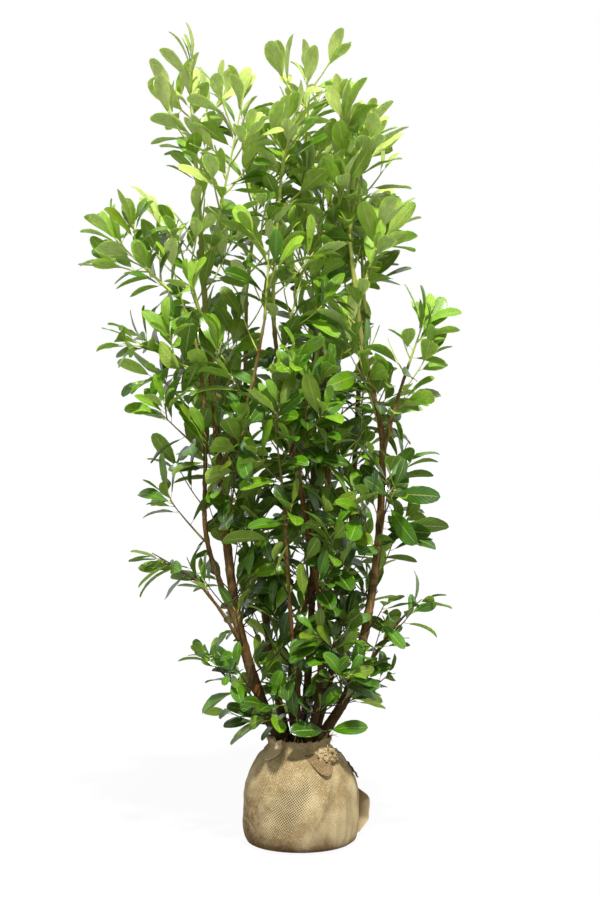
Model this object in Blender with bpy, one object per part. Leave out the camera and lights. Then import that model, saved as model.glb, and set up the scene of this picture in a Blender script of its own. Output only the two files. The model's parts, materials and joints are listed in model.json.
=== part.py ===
"""Cherry laurel sapling: eight stems from one clump, on a root ball wrapped in burlap.

Metres, +Z up. The origin is the centre of the root ball's flat underside, and -Y is the plant's front.
The stems and boughs run through a few named points. Every mass of foliage grows from one twig by the same
seeded rule: side twigs and leaves leave it at the golden angle and turn up towards the light. A twig or
leaf that would leave its mass's own space, or touch a limb or another leaf, is left out.
"""

import math
import random
from typing import NamedTuple

import bmesh
import bpy
from mathutils import Matrix, Vector
from mathutils.bvhtree import BVHTree

UP = Vector((0.0, 0.0, 1.0))
GAP = 0.0003
GOLDEN_ANGLE = math.radians(137.5)

# root ball
BALL_RADIUS = 0.162
BALL_FLAT_RADIUS = 0.122
BALL_TOP = 0.272
SOIL_TOP = 0.264
NECK_RADIUS = 0.078
NECK_RIM = 0.290
NECK_FLARE = 0.007
NECK_FOLD = 0.0035
NECK_FOLDS = 8
WRAP_THICKNESS = 0.003
BALL_SIDES = 24
LUMP = 0.0036
FLAP_HEIGHTS = (0.028, 0.047, 0.066, 0.089, 0.112, 0.142)
FLAP_COLUMNS = 6
FLAP_ROOT = 60.0
FLAP_END = 9.0
FLAP_LIFT = 0.026
FLAP_CURL = 1.6
FLAP_SLACK = 0.0035
KNOT_RADIUS = 0.019
KNOT_FLATNESS = 0.62
KNOT_LOBE = 0.14
KNOT_ANGLE = -45.0
KNOT_TILT = 51.5
KNOT_HEIGHT = 0.252
KNOT_STAND = 0.0135

# limbs
FLARE = 1.22
FLARE_HEIGHT = 0.05
FLARE_END = 0.45
TAPER_POWER = 0.85
STEM_SIDES = 7
BOUGH_SIDES = 6
RING_SPACING = 0.12

# twigs, with the turns in degrees that one tries round its parent
TWIG_RADIUS = 0.0042
SIDE_TWIG_RADIUS = 0.0030
TWIG_TIP_RADIUS = 0.0018
TWIG_STEPS = 3
TWIG_SIDES = 3
SIDE_TWIG_SHARES = (0.20, 0.80)
SIDE_TWIG_SPREAD = (40.0, 55.0)
SIDE_TWIG_LENGTHS = (0.54, 0.36)
SIDE_TWIG_LONGEST = 0.13
SIDE_TWIG_LIFT = 0.45
TWIG_CHOICES = (0.0, 60.0, -60.0, 120.0, -120.0)

# leaves, with the turns in degrees and shares of its size that one tries
LEAF_LENGTH = 0.134
LEAF_WIDTH = 0.064
LEAF_FOLD = 0.042
LEAF_SINK = 0.006
LEAF_SPACING = 0.036
LEAF_SPREAD = (36.0, 66.0)
LEAF_SWAY = 8.0
LEAF_ROLL = 32.0
LEAF_SIZES = (0.88, 1.10)
LEAVES_AT_TIP = 2
FIRST_TURN = 0.8
BARE_SHARE = 0.20
LEAF_CHOICES = ((0.0, 1.0), (50.0, 1.0), (-50.0, 1.0), (100.0, 0.85), (-100.0, 0.85),
                (0.0, 0.7))
LEAF_OUTLINE = ((0.0, 0.0, 0.0), (0.27, 0.92, 1.0), (0.27, -0.92, 1.0),
                (0.70, 0.92, 0.9), (0.70, -0.92, 0.9), (1.0, 0.0, -0.2))
YOUNG_HEIGHT = 1.75
SPACE_MARGIN = 0.0005
LIMB_CLEARANCE = 0.0012


class Limb(NamedTuple):
    """A stem, or a bough with its parent: what its centre line runs through, and its end radii."""

    name: str
    parent: str
    start: tuple
    knots: tuple
    foot_radius: float
    tip_radius: float


class Mass(NamedTuple):
    """A mass of foliage: where its twig leaves its limb (height 0 is the limb's tip), and how it grows."""

    name: str
    limb: str
    height: float
    azimuth: float
    rise: float
    reach: float
    lift: float
    side_twigs: int


# stems start at (x, y) on the soil, boughs at (height,) on their parent
LIMBS = (
    Limb("stem_left", "", (-0.040, -0.012),
         ((-0.106, -0.020, 0.396), (-0.178, -0.040, 0.655), (-0.223, -0.055, 1.066),
          (-0.262, -0.060, 1.510), (-0.280, -0.050, 1.800)), 0.0165, 0.0060),
    Limb("stem_centre", "", (-0.006, 0.010),
         ((-0.024, 0.020, 0.430), (0.003, 0.034, 0.625), (0.064, 0.048, 0.840),
          (0.080, 0.052, 1.060), (0.066, 0.045, 1.310), (0.040, 0.035, 1.600),
          (0.008, 0.028, 1.790)), 0.0135, 0.0055),
    Limb("stem_front", "", (0.018, -0.034),
         ((0.052, -0.045, 0.420), (0.059, -0.058, 0.640), (0.020, -0.072, 0.890),
          (-0.030, -0.095, 1.150), (-0.072, -0.100, 1.450), (-0.062, -0.090, 1.720)), 0.0115, 0.0045),
    Limb("stem_right", "", (0.036, -0.004),
         ((0.126, -0.015, 0.405), (0.173, -0.030, 0.560), (0.212, -0.040, 0.800),
          (0.228, -0.045, 1.100), (0.200, -0.040, 1.255), (0.166, -0.030, 1.430),
          (0.136, -0.015, 1.700)), 0.0150, 0.0055),
    Limb("stem_thin", "", (-0.016, -0.048),
         ((-0.004, -0.075, 0.410), (-0.020, -0.105, 0.570), (-0.034, -0.135, 0.780),
          (-0.045, -0.155, 0.980)), 0.0070, 0.0040),
    Limb("stem_back_left", "", (-0.034, 0.038),
         ((-0.082, 0.085, 0.500), (-0.125, 0.140, 0.850), (-0.155, 0.150, 1.200),
          (-0.153, 0.110, 1.560)), 0.0125, 0.0050),
    Limb("stem_back", "", (0.006, 0.052),
         ((0.026, 0.115, 0.500), (0.040, 0.180, 0.850), (0.036, 0.200, 1.200),
          (0.052, 0.190, 1.580)), 0.0120, 0.0050),
    Limb("stem_back_right", "", (0.034, 0.036),
         ((0.092, 0.090, 0.480), (0.145, 0.145, 0.850), (0.165, 0.155, 1.200),
          (0.185, 0.120, 1.500)), 0.0120, 0.0050),
    Limb("bough_left_outer", "stem_left", (0.605,),
         ((-0.215, -0.062, 0.717), (-0.258, -0.085, 0.870), (-0.258, -0.115, 1.100),
          (-0.272, -0.122, 1.330), (-0.318, -0.125, 1.500)), 0.0080, 0.0040),
    Limb("bough_left_inner", "stem_left", (1.035,),
         ((-0.167, -0.095, 1.163), (-0.130, -0.135, 1.270), (-0.094, -0.160, 1.450)), 0.0070, 0.0038),
    Limb("bough_right", "stem_right", (1.090,),
         ((0.262, -0.070, 1.215), (0.298, -0.085, 1.330)), 0.0060, 0.0038),
    Limb("bough_low_right", "stem_right", (0.410,),
         ((0.181, -0.050, 0.494), (0.265, -0.090, 0.619)), 0.0068, 0.0040),
    Limb("bough_low_left", "stem_left", (0.550,),
         ((-0.214, -0.110, 0.655), (-0.285, -0.130, 0.745)), 0.0056, 0.0038),
)

MASSES = (
    # at the tips of the limbs
    Mass("leaves_left_top", "stem_left", 0, 150, 84, 0.30, 0.1, 2),
    Mass("leaves_centre_top", "stem_centre", 0, 60, 86, 0.365, 0.1, 3),
    Mass("leaves_front_top", "stem_front", 0, 30, 84, 0.28, 0.2, 2),
    Mass("leaves_right_top", "stem_right", 0, 20, 80, 0.30, 0.1, 2),
    Mass("leaves_thin_top", "stem_thin", 0, 240, 75, 0.24, 0.3, 2),
    Mass("leaves_back_left_top", "stem_back_left", 0, 20, 82, 0.30, 0.2, 3),
    Mass("leaves_back_top", "stem_back", 0, 60, 82, 0.34, 0.2, 3),
    Mass("leaves_back_right_top", "stem_back_right", 0, 110, 82, 0.30, 0.2, 3),
    Mass("leaves_upper_left_spray", "bough_left_outer", 0, 185, 40, 0.245, 0.1, 2),
    Mass("leaves_left_inner_top", "bough_left_inner", 0, 300, 82, 0.20, 0.1, 2),
    Mass("leaves_right_spray", "bough_right", 0, 340, 70, 0.13, 0.0, 2),
    Mass("leaves_low_right_spray", "bough_low_right", 0, 345, 50, 0.10, -0.2, 2),
    Mass("leaves_low_left_spray", "bough_low_left", 0, 190, 35, 0.14, -0.1, 2),
    # along the limbs, from the ground up
    Mass("leaves_bottom_left_spray", "stem_left", 0.36, 205, 42, 0.24, 0.1, 2),
    Mass("leaves_foot_left", "stem_left", 0.40, 235, 38, 0.15, 0.2, 2),
    Mass("leaves_low_inner", "stem_left", 0.60, 60, 75, 0.32, 0.2, 2),
    Mass("leaves_front_left", "stem_left", 0.86, 300, 72, 0.32, 0.2, 2),
    Mass("leaves_mid_inner", "stem_left", 1.14, 40, 74, 0.32, 0.2, 2),
    Mass("leaves_crown_left", "stem_left", 1.42, 200, 70, 0.28, 0.2, 2),
    Mass("leaves_crown_inner", "stem_left", 1.56, 330, 74, 0.51, 0.2, 3),
    Mass("leaves_low_left", "bough_left_outer", 0.84, 190, 45, 0.15, 0.2, 2),
    Mass("leaves_mid_left", "bough_left_outer", 1.08, 195, 40, 0.16, 0.1, 2),
    Mass("leaves_high_left", "bough_left_outer", 1.30, 200, 22, 0.20, 0.1, 2),
    Mass("leaves_foot_front", "stem_front", 0.44, 290, 45, 0.17, 0.4, 2),
    Mass("leaves_low_front", "stem_front", 0.66, 345, 72, 0.32, 0.2, 2),
    Mass("leaves_mid_front", "stem_front", 1.00, 285, 72, 0.30, 0.2, 2),
    Mass("leaves_high_centre", "stem_front", 1.34, 20, 72, 0.28, 0.2, 2),
    Mass("leaves_low_centre", "stem_centre", 0.86, 160, 74, 0.32, 0.2, 2),
    Mass("leaves_high_front", "stem_centre", 1.18, 320, 74, 0.32, 0.2, 2),
    Mass("leaves_crown_centre", "stem_centre", 1.46, 150, 72, 0.30, 0.2, 2),
    Mass("leaves_top_right", "stem_centre", 1.52, 335, 76, 0.48, 0.2, 3),
    Mass("leaves_foot_right", "stem_right", 0.42, 280, 28, 0.11, 0.2, 2),
    Mass("leaves_low_right", "stem_right", 0.76, 300, 74, 0.28, 0.2, 2),
    Mass("leaves_high_right", "stem_right", 1.16, 190, 72, 0.30, 0.2, 2),
    Mass("leaves_crown_right", "stem_right", 1.50, 345, 70, 0.22, 0.2, 2),
    Mass("leaves_foot_back_left", "stem_back_left", 0.48, 160, 62, 0.24, 0.2, 2),
    Mass("leaves_low_back_left", "stem_back_left", 0.78, 185, 70, 0.32, 0.2, 3),
    Mass("leaves_high_back_left", "stem_back_left", 1.12, 140, 70, 0.32, 0.2, 3),
    Mass("leaves_low_back", "stem_back", 0.60, 100, 70, 0.34, 0.2, 3),
    Mass("leaves_high_back", "stem_back", 1.02, 80, 70, 0.38, 0.2, 3),
    Mass("leaves_foot_back_right", "stem_back_right", 0.48, 20, 62, 0.24, 0.2, 2),
    Mass("leaves_low_back_right", "stem_back_right", 0.80, 80, 72, 0.32, 0.2, 3),
    Mass("leaves_high_back_right", "stem_back_right", 1.12, 60, 72, 0.32, 0.2, 3),
)


def clear_scene():
    """Removes whatever the scene holds."""
    for thing in list(bpy.data.objects):
        bpy.data.objects.remove(thing, do_unlink=True)


def material(name, colour, roughness):
    """A plain Principled material."""
    made = bpy.data.materials.new(name)
    made.use_nodes = True
    shader = made.node_tree.nodes["Principled BSDF"]
    shader.inputs["Base Color"].default_value = (*colour, 1.0)
    shader.inputs["Roughness"].default_value = roughness
    shader.inputs["Metallic"].default_value = 0.0
    made.diffuse_color = (*colour, 1.0)
    return made


def finish(name, shape, surface, smooth=False):
    """Writes a bmesh to an object of the scene."""
    bmesh.ops.recalc_face_normals(shape, faces=shape.faces)
    mesh = bpy.data.meshes.new(name)
    shape.to_mesh(mesh)
    shape.free()
    mesh.materials.append(surface)
    if smooth:
        mesh.shade_smooth()
    made = bpy.data.objects.new(name, mesh)
    bpy.context.scene.collection.objects.link(made)
    return made


# ------------------------------------------------------------------ root ball


def ball_profile():
    """(radius, height) of the wrap's outer face, from the flat underside up to the neck's rim."""
    low = BALL_FLAT_RADIUS
    wide = BALL_RADIUS
    return (
        (low, 0.0), (low + 0.62 * (wide - low), 0.008), (0.965 * wide, 0.028), (wide, 0.066),
        (wide, 0.112), (0.965 * wide, 0.160), (0.885 * wide, 0.203), (0.745 * wide, 0.240),
        (0.590 * wide, 0.261), (NECK_RADIUS + WRAP_THICKNESS, BALL_TOP + 0.002),
    )


def lump(angle, height):
    """How far the ball bulges out at a place on its side; the underside and the neck stay round."""
    side = math.sin(math.pi * min(1.0, max(0.0, height / BALL_TOP)))
    wave = math.sin(3.0 * angle + 0.6) + 0.6 * math.sin(5.0 * angle + 14.0 * height)
    return LUMP * side * wave


def ring(shape, radius, height, bulge):
    """A ring of vertices round the Z axis; bulge says how far out each angle stands."""
    verts = []
    for k in range(BALL_SIDES):
        angle = 2.0 * math.pi * k / BALL_SIDES
        reach = radius + bulge(angle, height)
        verts.append(shape.verts.new((reach * math.cos(angle), reach * math.sin(angle), height)))
    return verts


def fold(angle, _):
    """The in and out of the gathered neck."""
    return NECK_FOLD * math.cos(NECK_FOLDS * angle)


def inset(profile, offset):
    """A profile moved in by an offset, square to itself."""
    moved = []
    for k, (radius, height) in enumerate(profile):
        before = profile[k - 1] if k else (0.0, height)
        after = profile[min(k + 1, len(profile) - 1)]
        into = Vector((radius - before[0], height - before[1])).normalized()
        out = Vector((after[0] - radius, after[1] - height))
        out = out.normalized() if out.length else into
        normal = Vector((-into.y - out.y, into.x + out.x)).normalized()
        reach = offset / normal.dot(Vector((-out.y, out.x)))
        moved.append((radius + normal.x * reach, height + normal.y * reach))
    return moved


def skin(shape, rings):
    """Triangles between each ring and the next, split the same way on both sides of a gap."""
    for one, two in zip(rings, rings[1:]):
        rising = one[0].co.z < two[0].co.z
        for k in range(len(one)):
            after = (k + 1) % len(one)
            if rising:
                shape.faces.new((one[k], one[after], two[after]))
                shape.faces.new((one[k], two[after], two[k]))
            else:
                shape.faces.new((one[k], one[after], two[k]))
                shape.faces.new((one[after], two[after], two[k]))


def make_soil(surface):
    """The packed soil: it fills the wrap, a gap clear of it, and is level under the stems."""
    profile = [spot for spot in inset(ball_profile(), WRAP_THICKNESS + GAP) if spot[1] < SOIL_TOP]
    profile.append((NECK_RADIUS, SOIL_TOP))
    shape = bmesh.new()
    rings = [ring(shape, radius, height, lump) for radius, height in profile]
    skin(shape, rings)
    shape.faces.new(rings[0])
    shape.faces.new(rings[-1])
    return finish("soil", shape, surface, True)


def make_wrap(surface):
    """The burlap: a shell round the soil with a flat underside and an open, gathered neck."""
    shape = bmesh.new()
    outer = [ring(shape, radius, height, lump) for radius, height in ball_profile()]
    outer.append(ring(shape, NECK_RADIUS + NECK_FLARE, NECK_RIM, fold))
    inner = [ring(shape, radius, height, lump) for radius, height in inset(ball_profile(), WRAP_THICKNESS)]
    inner.append(ring(shape, NECK_RADIUS + NECK_FLARE - WRAP_THICKNESS, NECK_RIM, fold))
    skin(shape, outer + inner[::-1])
    shape.faces.new(outer[0])
    shape.faces.new(inner[0])
    return finish("burlap_wrap", shape, surface, True)


def wrap_radius(angle, height):
    """Radius of the wrap's outer face at a height, straight between the points of its profile."""
    for (low_radius, low), (high_radius, high) in zip(ball_profile(), ball_profile()[1:]):
        if low <= height <= high:
            share = (height - low) / (high - low)
            below = low_radius + lump(angle, low)
            return below + share * (high_radius + lump(angle, high) - below)
    raise ValueError(f"no wrap at height {height}")


def make_flap(surface):
    """A loose corner of the cloth that stands off the right side of the ball, rooted at the back."""
    shape = bmesh.new()
    rows = len(FLAP_HEIGHTS) - 1
    faces = {}
    for side, offset in (("inner", GAP), ("outer", GAP + WRAP_THICKNESS)):
        for i, height in enumerate(FLAP_HEIGHTS):
            for j in range(FLAP_COLUMNS + 1):
                share = j / FLAP_COLUMNS
                angle = math.radians(FLAP_ROOT + (FLAP_END - FLAP_ROOT) * share)
                bulge = math.sin(math.pi * (0.12 + 0.76 * i / rows))
                stand = FLAP_LIFT * share ** FLAP_CURL * bulge + FLAP_SLACK * min(1.0, 4.0 * share)
                reach = wrap_radius(angle, height) + offset + stand
                faces[side, i, j] = shape.verts.new(
                    (reach * math.cos(angle), reach * math.sin(angle), height))
    for i in range(rows):
        for j in range(FLAP_COLUMNS):
            shape.faces.new([faces["outer", a, b] for a, b in
                             ((i, j), (i, j + 1), (i + 1, j + 1), (i + 1, j))])
            shape.faces.new([faces["inner", a, b] for a, b in
                             ((i, j), (i + 1, j), (i + 1, j + 1), (i, j + 1))])
    edge = [(i, 0) for i in range(rows)] + [(rows, j) for j in range(FLAP_COLUMNS)]
    edge += [(i, FLAP_COLUMNS) for i in range(rows, 0, -1)] + [(0, j) for j in range(FLAP_COLUMNS, 0, -1)]
    for here, after in zip(edge, edge[1:] + edge[:1]):
        shape.faces.new((faces["inner", *here], faces["outer", *here],
                         faces["outer", *after], faces["inner", *after]))
    return finish("burlap_flap", shape, surface, True)


def make_knot(surface):
    """The bunched end of the cloth on the right shoulder of the ball: a squashed lump with lobes."""
    shape = bmesh.new()
    bmesh.ops.create_icosphere(shape, subdivisions=2, radius=KNOT_RADIUS)
    for vert in shape.verts:
        turn = math.atan2(vert.co.y, vert.co.x)
        vert.co *= 1.0 + KNOT_LOBE * math.cos(3.0 * turn + 0.5)
        vert.co.z *= KNOT_FLATNESS
    angle = math.radians(KNOT_ANGLE)
    tilt = heading_of(KNOT_ANGLE, KNOT_TILT)
    turn = tilt.to_track_quat("Z", "Y").to_matrix().to_4x4()
    reach = wrap_radius(angle, KNOT_HEIGHT)
    place = Vector((reach * math.cos(angle), reach * math.sin(angle), KNOT_HEIGHT)) + tilt * KNOT_STAND
    bmesh.ops.transform(shape, matrix=Matrix.Translation(place) @ turn, verts=shape.verts)
    return finish("burlap_knot", shape, surface, True)


# ------------------------------------------------------------------ limbs


def spline(knots, spacing):
    """Points about a spacing apart on a smooth curve through the knots."""
    first = knots[0] * 2.0 - knots[1]
    last = knots[-1] * 2.0 - knots[-2]
    chain = [first, *knots, last]
    points = []
    for p, q, r, s in zip(chain, chain[1:], chain[2:], chain[3:]):
        steps = max(1, round((r - q).length / spacing))
        for k in range(steps):
            t = k / steps
            points.append(0.5 * (2.0 * q + (r - p) * t + (2.0 * p - 5.0 * q + 4.0 * r - s) * t * t
                                 + (3.0 * q - p - 3.0 * r + s) * t ** 3))
    points.append(knots[-1].copy())
    return points


def directions(path):
    """The direction of a path at each of its points."""
    ends = [path[1] - path[0]]
    ends += [after - before for before, after in zip(path, path[2:])]
    ends.append(path[-1] - path[-2])
    return [end.normalized() for end in ends]


def tube(path, radii, sides, seat=None, flat_foot=False):
    """A closed tapering limb along a path: a disc extruded from point to point.

    A seat is the plane (point, normal) in which its first ring is cut off.
    """
    headings = directions(path)
    if flat_foot:
        headings[0] = UP
    turn = headings[0].to_track_quat("Z", "X")
    shape = bmesh.new()
    place = Matrix.LocRotScale(path[0], turn, Vector((radii[0],) * 3))
    bmesh.ops.create_circle(shape, cap_ends=True, segments=sides, radius=1.0, matrix=place)
    shape.faces.ensure_lookup_table()
    end = shape.faces[0]
    foot = list(end.verts)
    for k, (point, heading, radius) in enumerate(zip(path[1:], headings[1:], radii[1:])):
        out = bmesh.ops.extrude_face_region(shape, geom=[end])
        if k:
            bmesh.ops.delete(shape, geom=[end], context="FACES_ONLY")
        verts = [item for item in out["geom"] if isinstance(item, bmesh.types.BMVert)]
        end = next(item for item in out["geom"] if isinstance(item, bmesh.types.BMFace))
        turn = (turn @ Vector((0.0, 0.0, 1.0))).rotation_difference(heading) @ turn
        after = Matrix.LocRotScale(point, turn, Vector((radius,) * 3))
        bmesh.ops.transform(shape, matrix=after @ place.inverted(), verts=verts)
        place = after
    if seat:
        point, normal = seat
        for vert in foot:
            vert.co += headings[0] * ((point - vert.co).dot(normal) / headings[0].dot(normal))
    return shape


def taper(path, foot, tip, flare):
    """A radius at each point of a path, with a flare near the foot of a stem."""
    total = sum((b - a).length for a, b in zip(path, path[1:]))
    gone = 0.0
    radii = []
    for k, point in enumerate(path):
        if k:
            gone += (point - path[k - 1]).length
        radius = foot + (tip - foot) * (gone / total) ** TAPER_POWER
        swell = (FLARE - 1.0) * math.exp(-gone / FLARE_HEIGHT) if flare else 0.0
        radii.append(radius * (1.0 + swell))
    return radii


def point_at_height(path, height):
    """The first point of a rising path at a height."""
    for low, high in zip(path, path[1:]):
        if low.z <= height <= high.z:
            return low.lerp(high, (height - low.z) / (high.z - low.z))
    return path[-1].copy()


def seat_on(limb_shape, limb_path, height, heading):
    """The plane a gap clear of a limb's side (or of its tip, at height 0) where a twig begins."""
    if not height:
        normal = directions(limb_path)[-1]
        return limb_path[-1] + normal * GAP, normal
    axis = point_at_height(limb_path, height)
    level = Vector((heading.x, heading.y, 0.0)).normalized()
    place, normal, _, _ = limb_shape.ray_cast(axis, level)
    if normal.dot(level) < 0.0:
        normal = -normal
    return place + normal * GAP, normal


class GrownLimb(NamedTuple):
    """A limb's centre line, and a tree of its faces."""

    path: list
    tree: BVHTree


def grow_limbs(bark):
    """Every stem and bough, each an object and a tree of its faces for the tests that follow."""
    grown = {}
    for limb in LIMBS:
        knots = [Vector(knot) for knot in limb.knots]
        seat = None
        if limb.parent:
            parent = grown[limb.parent]
            axis = point_at_height(parent.path, limb.start[0])
            seat = seat_on(parent.tree, parent.path, limb.start[0], knots[0] - axis)
            knots.insert(0, seat[0])
        else:
            knots.insert(0, Vector((*limb.start, SOIL_TOP + GAP)))
        path = spline(knots, RING_SPACING)
        if not limb.parent:
            path.insert(1, path[0].lerp(path[1], FLARE_END))
        radii = taper(path, limb.foot_radius, limb.tip_radius, not limb.parent)
        sides = BOUGH_SIDES if limb.parent else STEM_SIDES
        shape = tube(path, radii, sides, seat, not limb.parent)
        grown[limb.name] = GrownLimb(path, BVHTree.FromBMesh(shape))
        finish(limb.name, shape, bark, True)
    return grown


# ------------------------------------------------------------------ foliage


class Twig(NamedTuple):
    """A twig's centre line with its radii, and the plane in which its foot is cut off, if any."""

    path: list
    radii: list
    seat: object


class Piece(NamedTuple):
    """A closed twig or leaf that has its place in a mass, with the corners of its box."""

    shape: bmesh.types.BMesh
    tree: BVHTree
    low: Vector
    high: Vector


def heading_of(azimuth, rise):
    """The direction at an azimuth from +X and a rise from level, in degrees."""
    turn = math.radians(azimuth)
    tip = math.radians(rise)
    return Vector((math.cos(turn) * math.cos(tip), math.sin(turn) * math.cos(tip), math.sin(tip)))


def shoot_path(start, heading, length, lift, steps):
    """The points of a shoot that turns up towards the light as it grows."""
    points = [start]
    for _ in range(steps):
        heading = (heading + UP * lift / steps).normalized()
        points.append(points[-1] + heading * length / steps)
    return points


def along(path, share):
    """The place and direction at a share of a path's length."""
    spot = share * (len(path) - 1)
    k = min(int(spot), len(path) - 2)
    return path[k].lerp(path[k + 1], spot - k), (path[k + 1] - path[k]).normalized()


def round_about(axis, angle, spread):
    """The direction that leaves an axis by spread, at an angle round it."""
    side = axis.cross(UP if abs(axis.z) < 0.9 else Vector((1.0, 0.0, 0.0))).normalized()
    other = axis.cross(side)
    out = side * math.cos(angle) + other * math.sin(angle)
    return axis * math.cos(spread) + out * math.sin(spread)


def between(ends, share):
    """A share of the way from one value to another."""
    return ends[0] + (ends[1] - ends[0]) * share


def main_twig(mass, limb):
    """The one twig that a mass grows from."""
    heading = heading_of(mass.azimuth, mass.rise)
    seat = seat_on(limb.tree, limb.path, mass.height, heading)
    path = shoot_path(seat[0], heading, mass.reach, mass.lift, TWIG_STEPS)
    radii = [between((TWIG_RADIUS, TWIG_TIP_RADIUS), k / TWIG_STEPS) for k in range(TWIG_STEPS + 1)]
    return Twig(path, radii, seat)


def side_twigs(mass, main):
    """The twigs that leave a mass's own twig at the golden angle round it, each with its choices."""
    chance = random.Random(mass.name)
    turn = chance.uniform(0.0, 2.0 * math.pi)
    for k in range(mass.side_twigs):
        share = between(SIDE_TWIG_SHARES, k / (mass.side_twigs - 1))
        place, heading = along(main.path, share)
        turn += GOLDEN_ANGLE
        spread = math.radians(chance.uniform(*SIDE_TWIG_SPREAD))
        length = min(SIDE_TWIG_LONGEST, mass.reach * between(SIDE_TWIG_LENGTHS, share))
        length *= chance.uniform(0.85, 1.15)
        choices = []
        for shift in TWIG_CHOICES:
            away = round_about(heading, turn + math.radians(shift), spread)
            path = shoot_path(place, away, length, SIDE_TWIG_LIFT, 1)
            choices.append(Twig(path, [SIDE_TWIG_RADIUS, TWIG_TIP_RADIUS], None))
        yield choices


def leaf_shape(place, heading, facing, size):
    """A closed leaf of eight faces: root, four points of its edge and tip, with its midrib as a keel."""
    side = heading.cross(facing).normalized()
    up = side.cross(heading)
    length = LEAF_LENGTH * size
    half = 0.5 * LEAF_WIDTH * size
    fold = LEAF_FOLD * length
    shape = bmesh.new()
    root, left, right, far_left, far_right, tip = (
        shape.verts.new(place + heading * run * length + side * out * half + up * rise * fold)
        for run, out, rise in LEAF_OUTLINE)
    for corners in ((root, right, left), (left, right, far_right), (left, far_right, far_left),
                    (far_left, far_right, tip), (root, left, tip), (left, far_left, tip),
                    (root, tip, right), (right, tip, far_right)):
        shape.faces.new(corners)
    bmesh.ops.recalc_face_normals(shape, faces=shape.faces)
    return shape


def leaves_of(mass, twig, first_turn):
    """Leaves along a twig from its tip down at the golden angle round it, each with its choices."""
    chance = random.Random(f"{mass.name} {twig.path[0].z:.4f}")
    length = sum((b - a).length for a, b in zip(twig.path, twig.path[1:]))
    leafy = 1.0 - BARE_SHARE
    count = max(2, round(length * leafy / LEAF_SPACING))
    turn = first_turn
    for k in range(LEAVES_AT_TIP + count):
        share = 1.0 - LEAF_SINK / length - leafy * max(0, k - LEAVES_AT_TIP) / count
        place, heading = along(twig.path, share)
        turn += GOLDEN_ANGLE
        sway = chance.uniform(-LEAF_SWAY, LEAF_SWAY)
        spread = math.radians(between(LEAF_SPREAD, 1.0 - share) + sway)
        roll = math.radians(chance.gauss(0.0, LEAF_ROLL))
        size = chance.uniform(*LEAF_SIZES)
        choices = []
        for shift, share_of_size in LEAF_CHOICES:
            away = round_about(heading, turn + math.radians(shift), spread)
            light = heading + UP
            facing = Matrix.Rotation(roll, 3, away) @ (light - away * light.dot(away))
            choices.append(leaf_shape(place, away, facing, size * share_of_size))
        yield choices


def distance(point, path):
    """From a point to the nearest place on a path."""
    nearest = math.inf
    for a, b in zip(path, path[1:]):
        run = b - a
        share = min(1.0, max(0.0, (point - a).dot(run) / run.dot(run)))
        nearest = min(nearest, (point - a - run * share).length)
    return nearest


class Canopy:
    """Holds what has its place, and says whether a new piece has room there."""

    def __init__(self, fixed):
        self.fixed = fixed
        self.axes = {}
        self.pieces = []

    def in_space(self, mass, shape):
        """Whether every corner is nearer to the mass's own twig than to another mass's."""
        for vert in shape.verts:
            own = distance(vert.co, self.axes[mass]) + SPACE_MARGIN
            for name, path in self.axes.items():
                if name != mass and distance(vert.co, path) < own:
                    return False
        return True

    def clear_of_limbs(self, tree, shape, skip):
        """Whether no corner or middle of an edge comes near a limb and no face crosses one."""
        corners = [vert.co for vert in shape.verts][skip:]
        corners += [0.5 * (edge.verts[0].co + edge.verts[1].co) for edge in shape.edges
                    if min(vert.index for vert in edge.verts) >= skip]
        for fixed in self.fixed:
            if tree.overlap(fixed):
                return False
            if any(fixed.find_nearest(corner, LIMB_CLEARANCE)[0] for corner in corners):
                return False
        return True

    def place(self, mass, shape, own, seated=False):
        """The shape with its place taken, or None where it has no room.

        It may run into its own pieces. A seated twig begins on a limb, so its first two rings may be near
        one, and it makes its mass's space instead of keeping to it.
        """
        shape.verts.index_update()
        tree = BVHTree.FromBMesh(shape)
        low = Vector([min(vert.co[k] for vert in shape.verts) for k in range(3)])
        high = Vector([max(vert.co[k] for vert in shape.verts) for k in range(3)])
        fits = self.clear_of_limbs(tree, shape, 2 * TWIG_SIDES if seated else 0)
        fits = fits and (seated or self.in_space(mass, shape))
        if fits:
            for other in self.pieces:
                apart = any(low[k] > other.high[k] or high[k] < other.low[k] for k in range(3))
                if not apart and other not in own and tree.overlap(other.tree):
                    fits = False
                    break
        if not fits:
            shape.free()
            return None
        piece = Piece(shape, tree, low, high)
        self.pieces.append(piece)
        return piece


def join(name, pieces, surface):
    """One solid from pieces that run into each other: a union on a collection."""
    objects = [finish(f"{name}_{k}", piece.shape, surface) for k, piece in enumerate(pieces)]
    core, *others = objects
    core.name = name
    group = bpy.data.collections.new(name)
    bpy.context.scene.collection.children.link(group)
    for other in others:
        bpy.context.scene.collection.objects.unlink(other)
        group.objects.link(other)
    union = core.modifiers.new("Union", "BOOLEAN")
    union.operation = "UNION"
    union.operand_type = "COLLECTION"
    union.collection = group
    union.solver = "EXACT"
    bpy.context.view_layer.objects.active = core
    bpy.ops.object.modifier_apply(modifier=union.name)
    for other in others:
        bpy.data.objects.remove(other, do_unlink=True)
    bpy.data.collections.remove(group)
    return core


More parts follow.
